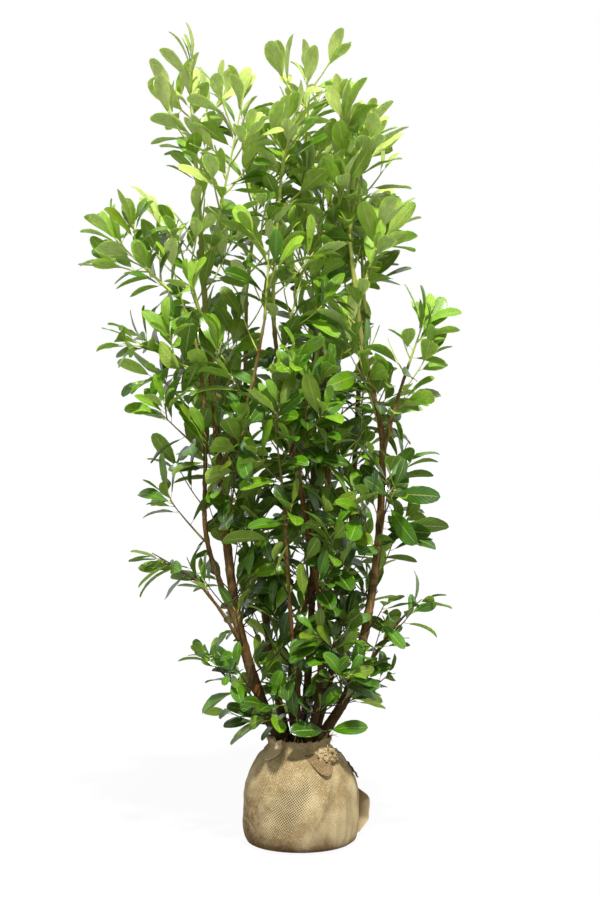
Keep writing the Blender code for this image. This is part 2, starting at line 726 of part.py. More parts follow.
def grow_foliage(grown, fixed, green, lime):
    """Every mass: first its own twig, then the side twigs, then the leaves of them all."""
    canopy = Canopy(fixed)
    held = {}
    for mass in MASSES:
        twig = main_twig(mass, grown[mass.limb])
        piece = canopy.place(mass.name, tube(twig.path, twig.radii, TWIG_SIDES, twig.seat), (), True)
        if piece is None:
            raise ValueError(f"no room for the twig of {mass.name}")
        canopy.axes[mass.name] = twig.path
        held[mass.name] = [(twig, piece)]
    for mass in MASSES:
        own = tuple(piece for _, piece in held[mass.name])
        for choices in side_twigs(mass, held[mass.name][0][0]):
            for twig in choices:
                piece = canopy.place(mass.name, tube(twig.path, twig.radii, TWIG_SIDES), own)
                if piece:
                    held[mass.name].append((twig, piece))
                    break
    for mass in MASSES:
        own = tuple(piece for _, piece in held[mass.name])
        pieces = list(own)
        for k, (twig, _) in enumerate(held[mass.name]):
            for choices in leaves_of(mass, twig, FIRST_TURN * k):
                fitting = (canopy.place(mass.name, shape, own) for shape in choices)
                pieces.append(next((piece for piece in fitting if piece), None))
        young = held[mass.name][0][0].path[-1].z > YOUNG_HEIGHT
        join(mass.name, [piece for piece in pieces if piece], lime if young else green)


def main():
    clear_scene()
    bark = material("Bark", (0.16, 0.10, 0.065), 0.75)
    green = material("Leaves", (0.10, 0.19, 0.045), 0.35)
    lime = material("Young leaves", (0.34, 0.50, 0.12), 0.45)
    cloth = material("Burlap", (0.46, 0.34, 0.20), 0.9)
    earth = material("Soil", (0.07, 0.045, 0.028), 0.95)
    make_soil(earth)
    ball = [make_wrap(cloth), make_flap(cloth), make_knot(cloth)]
    grown = grow_limbs(bark)
    fixed = [limb.tree for limb in grown.values()]
    for thing in ball:
        fixed.append(BVHTree.FromPolygons([vert.co for vert in thing.data.vertices],
                                          [tuple(face.vertices) for face in thing.data.polygons]))
    grow_foliage(grown, fixed, green, lime)


main()
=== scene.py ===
"""Dresses the cherry laurel sapling: bark, twigs, leaves, burlap and soil, on a plain pale floor.

Metres, +Z up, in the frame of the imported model. The stems and boughs follow the same centre lines as the
solids, and each mass of foliage grows again by the same rule, with finer twigs and leaves of real size.
"""

import functools
import json
import math
import random
from typing import NamedTuple

import bpy
import numpy as np
from bpy.props import FloatProperty, FloatVectorProperty, PointerProperty
from mathutils import Matrix, Vector, noise
from mathutils.bvhtree import BVHTree

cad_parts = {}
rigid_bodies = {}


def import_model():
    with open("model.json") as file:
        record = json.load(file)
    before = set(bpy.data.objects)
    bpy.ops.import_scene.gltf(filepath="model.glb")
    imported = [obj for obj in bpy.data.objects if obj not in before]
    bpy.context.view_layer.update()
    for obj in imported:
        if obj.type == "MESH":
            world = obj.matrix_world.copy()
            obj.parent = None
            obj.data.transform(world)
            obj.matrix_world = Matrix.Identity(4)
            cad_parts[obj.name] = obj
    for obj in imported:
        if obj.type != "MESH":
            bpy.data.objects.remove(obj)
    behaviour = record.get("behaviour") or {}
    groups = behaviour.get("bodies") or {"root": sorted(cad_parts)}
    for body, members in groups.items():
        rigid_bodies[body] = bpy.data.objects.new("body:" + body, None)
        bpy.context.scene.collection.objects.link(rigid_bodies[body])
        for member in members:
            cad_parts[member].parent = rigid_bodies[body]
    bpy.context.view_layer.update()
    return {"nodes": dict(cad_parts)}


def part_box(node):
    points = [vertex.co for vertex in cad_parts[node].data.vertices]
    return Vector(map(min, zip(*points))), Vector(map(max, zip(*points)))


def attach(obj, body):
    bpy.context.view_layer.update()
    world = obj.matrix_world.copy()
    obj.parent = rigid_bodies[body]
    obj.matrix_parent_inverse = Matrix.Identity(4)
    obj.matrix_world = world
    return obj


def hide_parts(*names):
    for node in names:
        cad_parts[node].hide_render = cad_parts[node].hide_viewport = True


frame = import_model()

bl_info = {
    "name": "Cherry Laurel Sapling",
    "version": (1, 0, 0),
    "blender": (4, 5, 0),
    "location": "View3D > Sidebar > Laurel",
    "description": "Bark, leaves and burlap for a root-balled cherry laurel",
    "category": "Object",
}

BODY = "root"

UP = Vector((0.0, 0.0, 1.0))
GOLDEN_ANGLE = math.radians(137.5)
SOIL_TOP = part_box("soil")[1].z
BALL_TOP = 0.272
VIEW_DISTANCE = 4.6
VIEW_HEIGHT = 1.094
KEY_AZIMUTH = math.radians(10.0)
KEY_RISE = math.radians(58.0)
KEY_PLACE = (-2.0, -3.0, 4.0)
FLOOR_RADIUS = 400.0
FLOOR_SIDES = 64


class Limb(NamedTuple):
    """A stem, or a bough with its parent: what its centre line runs through, and its end radii."""

    name: str
    parent: str
    start: tuple
    knots: tuple
    foot_radius: float
    tip_radius: float


class Mass(NamedTuple):
    """A mass of foliage: where its twig leaves its limb (height 0 is the limb's tip), and how it grows.

    Its age is how much older its leaves look than their height tells.
    """

    name: str
    limb: str
    height: float
    azimuth: float
    rise: float
    reach: float
    lift: float
    side_twigs: int
    age: float = 0.0


# stems start at (x, y) on the soil, boughs at (height,) on their parent
LIMBS = (
    Limb("stem_left", "", (-0.040, -0.012),
         ((-0.106, -0.020, 0.396), (-0.178, -0.040, 0.655), (-0.223, -0.055, 1.066),
          (-0.262, -0.060, 1.510), (-0.280, -0.050, 1.800)), 0.0165, 0.0060),
    Limb("stem_centre", "", (-0.006, 0.010),
         ((-0.024, 0.020, 0.430), (0.003, 0.034, 0.625), (0.064, 0.048, 0.840),
          (0.080, 0.052, 1.060), (0.066, 0.045, 1.310), (0.040, 0.035, 1.600),
          (0.008, 0.028, 1.790)), 0.0135, 0.0055),
    Limb("stem_front", "", (0.018, -0.034),
         ((0.052, -0.045, 0.420), (0.059, -0.058, 0.640), (0.020, -0.072, 0.890),
          (-0.030, -0.095, 1.150), (-0.072, -0.100, 1.450), (-0.062, -0.090, 1.720)), 0.0115, 0.0045),
    Limb("stem_right", "", (0.036, -0.004),
         ((0.126, -0.015, 0.405), (0.173, -0.030, 0.560), (0.212, -0.040, 0.800),
          (0.228, -0.045, 1.100), (0.200, -0.040, 1.255), (0.166, -0.030, 1.430),
          (0.136, -0.015, 1.700)), 0.0150, 0.0055),
    Limb("stem_thin", "", (-0.016, -0.048),
         ((-0.004, -0.075, 0.410), (-0.020, -0.105, 0.570), (-0.034, -0.135, 0.780),
          (-0.045, -0.155, 0.980)), 0.0070, 0.0040),
    Limb("stem_back_left", "", (-0.034, 0.038),
         ((-0.082, 0.085, 0.500), (-0.125, 0.140, 0.850), (-0.155, 0.150, 1.200),
          (-0.153, 0.110, 1.560)), 0.0125, 0.0050),
    Limb("stem_back", "", (0.006, 0.052),
         ((0.026, 0.115, 0.500), (0.040, 0.180, 0.850), (0.036, 0.200, 1.200),
          (0.052, 0.190, 1.580)), 0.0120, 0.0050),
    Limb("stem_back_right", "", (0.034, 0.036),
         ((0.092, 0.090, 0.480), (0.145, 0.145, 0.850), (0.165, 0.155, 1.200),
          (0.185, 0.120, 1.500)), 0.0120, 0.0050),
    Limb("bough_left_outer", "stem_left", (0.605,),
         ((-0.215, -0.062, 0.717), (-0.258, -0.085, 0.870), (-0.258, -0.115, 1.100),
          (-0.272, -0.122, 1.330), (-0.318, -0.125, 1.500)), 0.0080, 0.0040),
    Limb("bough_left_inner", "stem_left", (1.035,),
         ((-0.167, -0.095, 1.163), (-0.130, -0.135, 1.270), (-0.094, -0.160, 1.450)), 0.0070, 0.0038),
    Limb("bough_right", "stem_right", (1.090,),
         ((0.262, -0.070, 1.215), (0.298, -0.085, 1.330)), 0.0060, 0.0038),
    Limb("bough_low_right", "stem_right", (0.410,),
         ((0.181, -0.050, 0.494), (0.265, -0.090, 0.619)), 0.0068, 0.0040),
    Limb("bough_low_left", "stem_left", (0.550,),
         ((-0.214, -0.110, 0.655), (-0.285, -0.130, 0.745)), 0.0056, 0.0038),
)

MASSES = (
    # at the tips of the limbs
    Mass("leaves_left_top", "stem_left", 0, 150, 84, 0.30, 0.1, 2, -0.8),
    Mass("leaves_centre_top", "stem_centre", 0, 60, 86, 0.365, 0.1, 3, -0.6),
    Mass("leaves_front_top", "stem_front", 0, 30, 84, 0.28, 0.2, 2, 0.5),
    Mass("leaves_right_top", "stem_right", 0, 20, 80, 0.30, 0.1, 2),
    Mass("leaves_thin_top", "stem_thin", 0, 240, 75, 0.24, 0.3, 2, 0.9),
    Mass("leaves_back_left_top", "stem_back_left", 0, 20, 82, 0.30, 0.2, 3, 0.8),
    Mass("leaves_back_top", "stem_back", 0, 60, 82, 0.34, 0.2, 3, 0.8),
    Mass("leaves_back_right_top", "stem_back_right", 0, 110, 82, 0.30, 0.2, 3, 0.8),
    Mass("leaves_upper_left_spray", "bough_left_outer", 0, 185, 40, 0.245, 0.1, 2, 1.2),
    Mass("leaves_left_inner_top", "bough_left_inner", 0, 300, 82, 0.20, 0.1, 2, 1.7),
    Mass("leaves_right_spray", "bough_right", 0, 340, 70, 0.13, 0.0, 2, -0.5),
    Mass("leaves_low_right_spray", "bough_low_right", 0, 345, 50, 0.10, -0.2, 2),
    Mass("leaves_low_left_spray", "bough_low_left", 0, 190, 35, 0.14, -0.1, 2),
    # along the limbs, from the ground up
    Mass("leaves_bottom_left_spray", "stem_left", 0.36, 205, 42, 0.24, 0.1, 2),
    Mass("leaves_foot_left", "stem_left", 0.40, 235, 38, 0.15, 0.2, 2),
    Mass("leaves_low_inner", "stem_left", 0.60, 60, 75, 0.32, 0.2, 2),
    Mass("leaves_front_left", "stem_left", 0.86, 300, 72, 0.32, 0.2, 2, 0.5),
    Mass("leaves_mid_inner", "stem_left", 1.14, 40, 74, 0.32, 0.2, 2),
    Mass("leaves_crown_left", "stem_left", 1.42, 200, 70, 0.28, 0.2, 2, -0.8),
    Mass("leaves_crown_inner", "stem_left", 1.56, 330, 74, 0.51, 0.2, 3, -0.3),
    Mass("leaves_low_left", "bough_left_outer", 0.84, 190, 45, 0.15, 0.2, 2),
    Mass("leaves_mid_left", "bough_left_outer", 1.08, 195, 40, 0.16, 0.1, 2),
    Mass("leaves_high_left", "bough_left_outer", 1.30, 200, 22, 0.20, 0.1, 2),
    Mass("leaves_foot_front", "stem_front", 0.44, 290, 45, 0.17, 0.4, 2),
    Mass("leaves_low_front", "stem_front", 0.66, 345, 72, 0.32, 0.2, 2),
    Mass("leaves_mid_front", "stem_front", 1.00, 285, 72, 0.30, 0.2, 2, 0.6),
    Mass("leaves_high_centre", "stem_front", 1.34, 20, 72, 0.28, 0.2, 2, 1.3),
    Mass("leaves_low_centre", "stem_centre", 0.86, 160, 74, 0.32, 0.2, 2),
    Mass("leaves_high_front", "stem_centre", 1.18, 320, 74, 0.32, 0.2, 2, 0.8),
    Mass("leaves_crown_centre", "stem_centre", 1.46, 150, 72, 0.30, 0.2, 2, 0.9),
    Mass("leaves_top_right", "stem_centre", 1.52, 335, 76, 0.48, 0.2, 3),
    Mass("leaves_foot_right", "stem_right", 0.42, 280, 28, 0.11, 0.2, 2),
    Mass("leaves_low_right", "stem_right", 0.76, 300, 74, 0.28, 0.2, 2),
    Mass("leaves_high_right", "stem_right", 1.16, 190, 72, 0.30, 0.2, 2),
    Mass("leaves_crown_right", "stem_right", 1.50, 345, 70, 0.22, 0.2, 2),
    Mass("leaves_foot_back_left", "stem_back_left", 0.48, 160, 62, 0.24, 0.2, 2),
    Mass("leaves_low_back_left", "stem_back_left", 0.78, 185, 70, 0.32, 0.2, 3),
    Mass("leaves_high_back_left", "stem_back_left", 1.12, 140, 70, 0.32, 0.2, 3),
    Mass("leaves_low_back", "stem_back", 0.60, 100, 70, 0.34, 0.2, 3),
    Mass("leaves_high_back", "stem_back", 1.02, 80, 70, 0.38, 0.2, 3),
    Mass("leaves_foot_back_right", "stem_back_right", 0.48, 20, 62, 0.24, 0.2, 2),
    Mass("leaves_low_back_right", "stem_back_right", 0.80, 80, 72, 0.32, 0.2, 3),
    Mass("leaves_high_back_right", "stem_back_right", 1.12, 60, 72, 0.32, 0.2, 3),
)


def linear(red, green, blue):
    """A colour given as 0 to 255 on a screen, as Blender's own linear values."""
    shares = (red / 255.0, green / 255.0, blue / 255.0)
    return tuple(s / 12.92 if s <= 0.04045 else ((s + 0.055) / 1.055) ** 2.4 for s in shares)


def colour(name, description, *screen):
    """A colour that a user can change, from its red, green and blue on a screen."""
    return FloatVectorProperty(name=name, description=description, subtype="COLOR", size=3,
                               min=0.0, max=1.0, default=linear(*screen))


def length(name, description, metres):
    """A length that a user can change."""
    return FloatProperty(name=name, description=description, unit="LENGTH", default=metres, precision=4)


# -------- settings


class LaurelLeafSettings(bpy.types.PropertyGroup):
    """Size and colours of the leaves."""

    blade: length("Blade", "Length of a grown leaf's blade", 0.110)
    petiole: length("Petiole", "Length of a grown leaf's stalk", 0.014)
    thickness: length("Thickness", "Thickness of a blade beside its midrib", 0.0006)
    spacing: length("Spacing", "Distance along a twig from leaf to leaf", 0.024)
    width: FloatProperty(name="Width", description="Width of a blade as a share of its length",
                         default=0.41, subtype="FACTOR")
    lime: colour("Lime", "Upper face of the youngest leaves", 192, 211, 110)
    spring: colour("Spring", "Upper face of young leaves", 154, 194, 56)
    vivid: colour("Vivid", "Upper face of a sunlit leaf", 74, 124, 6)
    fresh: colour("Fresh", "Upper face of this year's leaves", 122, 168, 34)
    grown: colour("Grown", "Upper face of most leaves", 101, 146, 16)
    olive: colour("Olive", "Upper face of ageing leaves", 104, 132, 18)
    deep: colour("Deep", "Upper face of old leaves", 68, 118, 2)
    dark: colour("Dark", "Upper face of the oldest leaves", 47, 88, 2)
    under_lime: colour("Lime underside", "Underside of the youngest leaves", 203, 218, 134)
    under_fresh: colour("Fresh underside", "Underside of this year's leaves", 176, 206, 82)
    under_grown: colour("Grown underside", "Underside of most leaves", 140, 174, 54)
    under_old: colour("Old underside", "Underside of old leaves", 110, 146, 40)
    stalk: colour("Stalk", "Petioles and midribs", 200, 208, 100)
    vein: colour("Vein", "Veins on the undersides", 232, 236, 182)


class LaurelWoodSettings(bpy.types.PropertyGroup):
    """Bark of the stems, boughs and twigs."""

    relief: length("Relief", "Depth of the bark's relief", 0.0011)
    lumps: length("Lumps", "Depth of the soft lumps along a limb", 0.0030)
    swelling: length("Swelling", "How far the joints of a stem stand out", 0.0012)
    bark: colour("Bark", "Bark low on the stems", 115, 81, 37)
    dark_bark: colour("Dark bark", "Creases and shaded bark", 52, 35, 13)
    pale_bark: colour("Pale bark", "Lenticels and weathered patches", 148, 119, 73)
    green_bark: colour("Green bark", "Bark high on the stems", 164, 172, 84)
    old_twig: colour("Old twig", "Twigs low on the plant", 66, 52, 38)
    woody_twig: colour("Woody twig", "Older twigs", 128, 118, 60)
    green_twig: colour("Green twig", "This year's twigs", 198, 212, 98)
    scar: colour("Scar", "Bare wood where a twig was cut away", 208, 130, 62)


class LaurelClothSettings(bpy.types.PropertyGroup):
    """Burlap and soil."""

    thickness: length("Thickness", "Thickness of the burlap", 0.003)
    fold: length("Fold", "Depth of the folds gathered at the neck", 0.0125)
    light: colour("Light burlap", "Dry, sunlit threads", 196, 177, 134)
    mid: colour("Burlap", "Most threads", 152, 130, 89)
    dark: colour("Stained burlap", "Earth-stained threads", 100, 68, 38)
    # painted light: the paler tone that makes the loose corner and the left lap look lit
    loose: colour("Loose burlap", "The clean, loose corner", 224, 199, 162)
    soil: colour("Soil", "Moist soil", 66, 48, 34)


class LaurelStageSettings(bpy.types.PropertyGroup):
    """Camera, light and floor."""

    distance: length("Distance", "From the camera to the plant's axis", VIEW_DISTANCE)
    height: length("Height", "Height of the camera above the floor", VIEW_HEIGHT)
    lens: FloatProperty(name="Lens", description="Focal length in millimetres", default=66.0,
                        subtype="DISTANCE_CAMERA")
    sun: FloatProperty(name="Key", description="Strength of the key light", default=4.6)
    softness: FloatProperty(name="Softness", description="Width of the key light as seen from the plant",
                            default=math.radians(4.0), subtype="ANGLE")
    azimuth: FloatProperty(name="Key azimuth", description="Where the key light stands, from the front",
                           default=KEY_AZIMUTH, subtype="ANGLE")
    rise: FloatProperty(name="Key rise", description="Height of the key light above the horizon",
                        default=KEY_RISE, subtype="ANGLE")
    sky: FloatProperty(name="Fill", description="Strength of the light from all around", default=0.70)
    floor: colour("Floor", "Plain pale floor", 255, 255, 255)
    floor_share: FloatProperty(name="Floor shade", description="How far the floor shows light and shadow",
                               default=0.04, subtype="FACTOR")
    floor_glow: FloatProperty(name="Floor glow", description="How far the floor shines by itself",
                              default=0.94, subtype="FACTOR")
    floor_bounce: FloatProperty(name="Floor bounce", description="How far the floor lights the plant",
                                default=0.45, subtype="FACTOR")


# -------- shaders


class Value:
    """A number that varies over a surface: arithmetic on it adds Math nodes."""

    def __init__(self, surface, socket):
        self.surface = surface
        self.socket = socket

    def math(self, operation, *others):
        """Any operation of the Math node on this value and others."""
        return self.surface.math(operation, self, *others)

    def __add__(self, other):
        return self.math("ADD", other)

    def __sub__(self, other):
        return self.math("SUBTRACT", other)

    def __mul__(self, other):
        return self.math("MULTIPLY", other)

    def __truediv__(self, other):
        return self.math("DIVIDE", other)

    def __radd__(self, other):
        return self.surface.math("ADD", other, self)

    def __rsub__(self, other):
        return self.surface.math("SUBTRACT", other, self)

    def __rmul__(self, other):
        return self.surface.math("MULTIPLY", other, self)

    def __abs__(self):
        return self.math("ABSOLUTE")


class Surface:
    """A material under construction: a Principled shader and the nodes that feed it."""

    def __init__(self, name, **settings):
        self.material = bpy.data.materials.new(name)
        self.material.use_nodes = True
        self.tree = self.material.node_tree
        self.shader = self.tree.nodes["Principled BSDF"]
        for socket, value in settings.items():
            self.feed(socket.replace("_", " ").title().replace("Ior", "IOR"), value)

    def node(self, kind, settings=None, inputs=None):
        """A node with its settings, then the values or links of its sockets. Returns its outputs."""
        made = self.tree.nodes.new(kind)
        for name, value in (settings or {}).items():
            setattr(made, name, value)
        for name, value in (inputs or {}).items():
            self.link(made.inputs[name], value)
        return made.outputs

    def link(self, socket, value):
        """Gives a socket a link, a colour, a vector or a number."""
        if isinstance(value, Value):
            value = value.socket
        if isinstance(value, bpy.types.NodeSocket):
            self.tree.links.new(value, socket)
        elif socket.type == "RGBA":
            socket.default_value = (*value, 1.0)
        else:
            socket.default_value = value

    def feed(self, name, value):
        """Links or sets one of the shader's own sockets."""
        self.link(self.shader.inputs[name], value)

    def math(self, operation, *values):
        """A Math node's result as a Value."""
        outputs = self.node("ShaderNodeMath", {"operation": operation}, dict(enumerate(values)))
        return Value(self, outputs[0])

    def mix(self, share, one, two):
        """A mix of two colours."""
        outputs = self.node("ShaderNodeMix", {"data_type": "RGBA"}, {"Factor": share, 6: one, 7: two})
        return outputs[2]

    def step(self, value, low, high):
        """0 below low, 1 above high, and a smooth rise between."""
        outputs = self.node("ShaderNodeMapRange", {"interpolation_type": "SMOOTHSTEP"},
                            {"Value": value, "From Min": low, "From Max": high})
        return Value(self, outputs[0])

    def scaled(self, vector, scale):
        """A vector with each of its parts scaled."""
        return self.node("ShaderNodeMapping", None, {"Vector": vector, "Scale": scale})[0]

    def place(self, scale=(1.0, 1.0, 1.0)):
        """Object coordinates, scaled."""
        return self.scaled(self.node("ShaderNodeTexCoord")["Object"], scale)

    def drawn(self, name):
        """The coordinates of a UV map."""
        return self.node("ShaderNodeUVMap", {"uv_map": name})[0]

    def noise(self, place, scale, detail=3.0, roughness=0.55):
        """Soft noise of about 0 to 1, of so many lumps to a unit."""
        outputs = self.node("ShaderNodeTexNoise", None, {"Vector": place, "Scale": scale, "Detail": detail,
                                                         "Roughness": roughness})
        return Value(self, outputs[0])

    def axes(self, vector):
        """The three parts of a vector."""
        parts = self.node("ShaderNodeSeparateXYZ", None, {"Vector": vector})
        return [Value(self, part) for part in parts]

    def near(self, point, where):
        """The distance from a point."""
        outputs = self.node("ShaderNodeVectorMath", {"operation": "DISTANCE"}, {0: where, 1: point})
        return Value(self, outputs["Value"])

    def bump(self, height, distance, strength=1.0):
        """Feeds the shader's normal from a height in units of distance."""
        outputs = self.node("ShaderNodeBump", None, {"Strength": strength, "Distance": distance,
                                                     "Height": height})
        self.feed("Normal", outputs[0])


UPPER_TINTS = ("lime", "spring", "fresh", "grown", "olive", "vivid", "deep", "dark")
UNDER_TINTS = ("under_lime", "under_fresh", "under_grown", "under_old")
YOUNG_TINTS = ("lime", "spring")
STALK = "stalk"
LEAF_FINISHES = UPPER_TINTS + UNDER_TINTS + (STALK,)
UNDERSIDE_OF = {"lime": "under_lime", "spring": "under_lime", "fresh": "under_fresh",
                "grown": "under_grown", "olive": "under_grown", "vivid": "under_fresh",
                "deep": "under_old", "dark": "under_old"}
# how much light comes through an upper face
GLOWS = {"lime": 0.6, "spring": 0.6, "fresh": 0.5, "grown": 0.3, "olive": 0.2, "vivid": 0.25}
# cells each way of the leaves' map, one for each finish
ATLAS = 4
LEAF_MAP = "OFBake"
WEAVE_MAP = "weave"
SIDE_VEINS = 9.0
VEIN_SLANT = 0.62
# where a twig was cut from a stem, in coordinates squashed by the scale
SCAR_SCALE = (1.0, 1.0, 0.4)
BARK_SCAR = (-0.118, -0.037, 0.428 * SCAR_SCALE[2])
# heights over which the painted shade at the foot of the stems fades out
SHADED_FOOT = (0.30, 0.66)
GREEN_FROM = (1.46, 1.92)
# the taut, open part of the weave at the front of the ball, which is also painted paler as a highlight
OPEN_X = -0.020
OPEN_HEIGHT = 0.135
OPEN_SLANT = math.radians(52.0)
OPEN_REACH = 0.090
OPEN_WIDTH = 0.040
OPEN_FRONT = (-0.12, -0.06)
# earth rubbed into the cloth by height, painted shade along the bottom edge, and darker round a place on the
# left
STAIN_HEIGHTS = (0.030, 0.115)
SHADED_EDGE_HEIGHTS = (0.012, 0.048)
LEFT_DARKENING = (-0.135, -0.085, 0.085)
LEFT_DARKENING_REACH = (0.05, 0.13)
# how far the noise is drawn out along a thread
THREAD_DRAW = 0.08


def toned(base, share):
    """A colour made darker, or lighter where the share is over 1."""
    return tuple(min(1.0, share * c) for c in base)


def glow_of(tint):
    """How much light comes through a leaf: most through the youngest."""
    faces = [tint] + [upper for upper, under in UNDERSIDE_OF.items() if under == tint]
    return max(GLOWS.get(face, 0.0) for face in faces)


def leaf_surface(tint, settings):
    """Leaf colour with a pale midrib and side veins that slant to the tip, drawn on the leaf's own map."""
    upper = tint in UPPER_TINTS
    young = tint in YOUNG_TINTS
    base = tuple(getattr(settings, tint))
    coat = 0.3 if young else 0.5
    surface = Surface(f"leaf {tint}", metallic=0.0, specular_ior_level=0.35,
                      coat_weight=coat if upper else 0.0, coat_roughness=0.15,
                      subsurface_weight=glow_of(tint), subsurface_radius=(0.6, 1.0, 0.15),
                      subsurface_scale=0.0016)
    spot = surface.drawn(LEAF_MAP)
    across, run, _ = surface.axes(spot)
    across = abs((across * ATLAS).math("FRACT") - 0.5)
    run = (run * ATLAS).math("FRACT")
    midrib = 1.0 - surface.step(across, 0.014, 0.046)
    slant = (run - across * VEIN_SLANT) * SIDE_VEINS
    vein = 1.0 - surface.step(abs(slant.math("FRACT") - 0.5), 0.02, 0.16)
    vein = vein * (1.0 - surface.step(across, 0.36, 0.47))
    blotch = surface.noise(spot, 14.0, 2.0)
    rib = tuple(0.45 * a + 0.55 * b for a, b in zip(base, settings.stalk if upper else settings.vein))
    shade = surface.mix(surface.step(blotch, 0.3, 0.7), toned(base, 0.86), toned(base, 1.12))
    shade = surface.mix(vein * (0.13 if upper else 0.30), shade, rib)
    shade = surface.mix(midrib * (0.62 if upper else 0.85), shade, rib)
    surface.feed("Base Color", shade)
    gloss = 0.40 if young else 0.30
    surface.feed("Roughness", (gloss if upper else 0.56) + blotch * 0.12)
    # ribs are sunk in the upper face and stand out from the underside
    surface.bump((midrib + vein * 0.5) * (-1.0 if upper else 1.0), 0.0007)
    return surface.material


def stalk_surface(settings):
    """Pale petioles, a little streaked."""
    surface = Surface("leaf stalk", metallic=0.0)
    streak = surface.noise(surface.drawn(LEAF_MAP), 60.0, 2.0)
    surface.feed("Base Color", surface.mix(streak, toned(settings.stalk, 0.78), settings.stalk))
    surface.feed("Roughness", 0.40 + streak * 0.1)
    return surface.material


def bark_surface(settings):
    """Brown bark with pale lenticels across it, painted shade darkening the foot, and green up the stem."""
    surface = Surface("laurel bark", metallic=0.0, specular_ior_level=0.2)
    _, _, height = surface.axes(surface.place())
    patches = surface.noise(surface.place(), 9.0, 3.0)
    streaks = surface.noise(surface.place((1.0, 1.0, 0.16)), 190.0, 4.0)
    spots = surface.noise(surface.place((1.0, 1.0, 2.4)), 150.0, 2.0)
    lenticels = surface.step(spots, 0.60, 0.70)
    rings = surface.noise(surface.place((0.25, 0.25, 1.0)), 46.0, 2.0)
    shade = surface.mix(surface.step(patches, 0.35, 0.68), settings.bark, settings.pale_bark)
    shade = surface.mix(surface.step(streaks, 0.42, 0.72) * 0.75, shade, settings.dark_bark)
    shade = surface.mix(surface.step(rings, 0.58, 0.70) * 0.6, shade, settings.dark_bark)
    shade = surface.mix(lenticels * 0.55, shade, settings.pale_bark)
    # painted shade: the stems are painted darker low down, where the leaves shade them
    foot = 1.0 - surface.step(height, *SHADED_FOOT)
    shade = surface.mix(foot * 0.86, shade, toned(settings.dark_bark, 0.9))
    scar = surface.near(BARK_SCAR, surface.place(SCAR_SCALE)) + streaks * 0.004
    shade = surface.mix(1.0 - surface.step(scar, 0.008, 0.011), shade, settings.scar)
    young = surface.step(height + patches * 0.5, *GREEN_FROM)
    shade = surface.mix(young, shade, settings.green_bark)
    surface.feed("Base Color", shade)
    surface.feed("Roughness", 0.62 + streaks * 0.2 - young * 0.15)
    surface.bump(streaks * -0.6 + lenticels * 0.5 + rings * 0.4, 0.0012)
    return surface.material


def twig_surface(name, base, settings):
    """Smooth young bark, streaked along the twig."""
    surface = Surface(name, metallic=0.0)
    streaks = surface.noise(surface.place((1.0, 1.0, 0.3)), 160.0, 3.0)
    patches = surface.noise(surface.place(), 14.0, 2.0)
    shade = surface.mix(surface.step(streaks, 0.4, 0.75) * 0.5, base, toned(base, 0.6))
    shade = surface.mix(surface.step(patches, 0.55, 0.75) * 0.4, shade, settings.bark)
    surface.feed("Base Color", shade)
    surface.feed("Roughness", 0.45 + streaks * 0.2)
    surface.bump(streaks, 0.0005)
    return surface.material


def open_and_highlit_part(surface, x, y, height, patches):
    """1 in the taut part of the cloth, where the weave is open and a painted highlight lies, fading to 0
    round it.
    """
    run = (x - OPEN_X) * math.cos(OPEN_SLANT) + (height - OPEN_HEIGHT) * math.sin(OPEN_SLANT)
    aside = (height - OPEN_HEIGHT) * math.cos(OPEN_SLANT) - (x - OPEN_X) * math.sin(OPEN_SLANT)
    run = run / OPEN_REACH
    aside = aside / OPEN_WIDTH
    far = (run * run + aside * aside).math("SQRT") + patches * 0.8
    return (1.0 - surface.step(far, 0.9, 1.7)) * (1.0 - surface.step(y, *OPEN_FRONT))


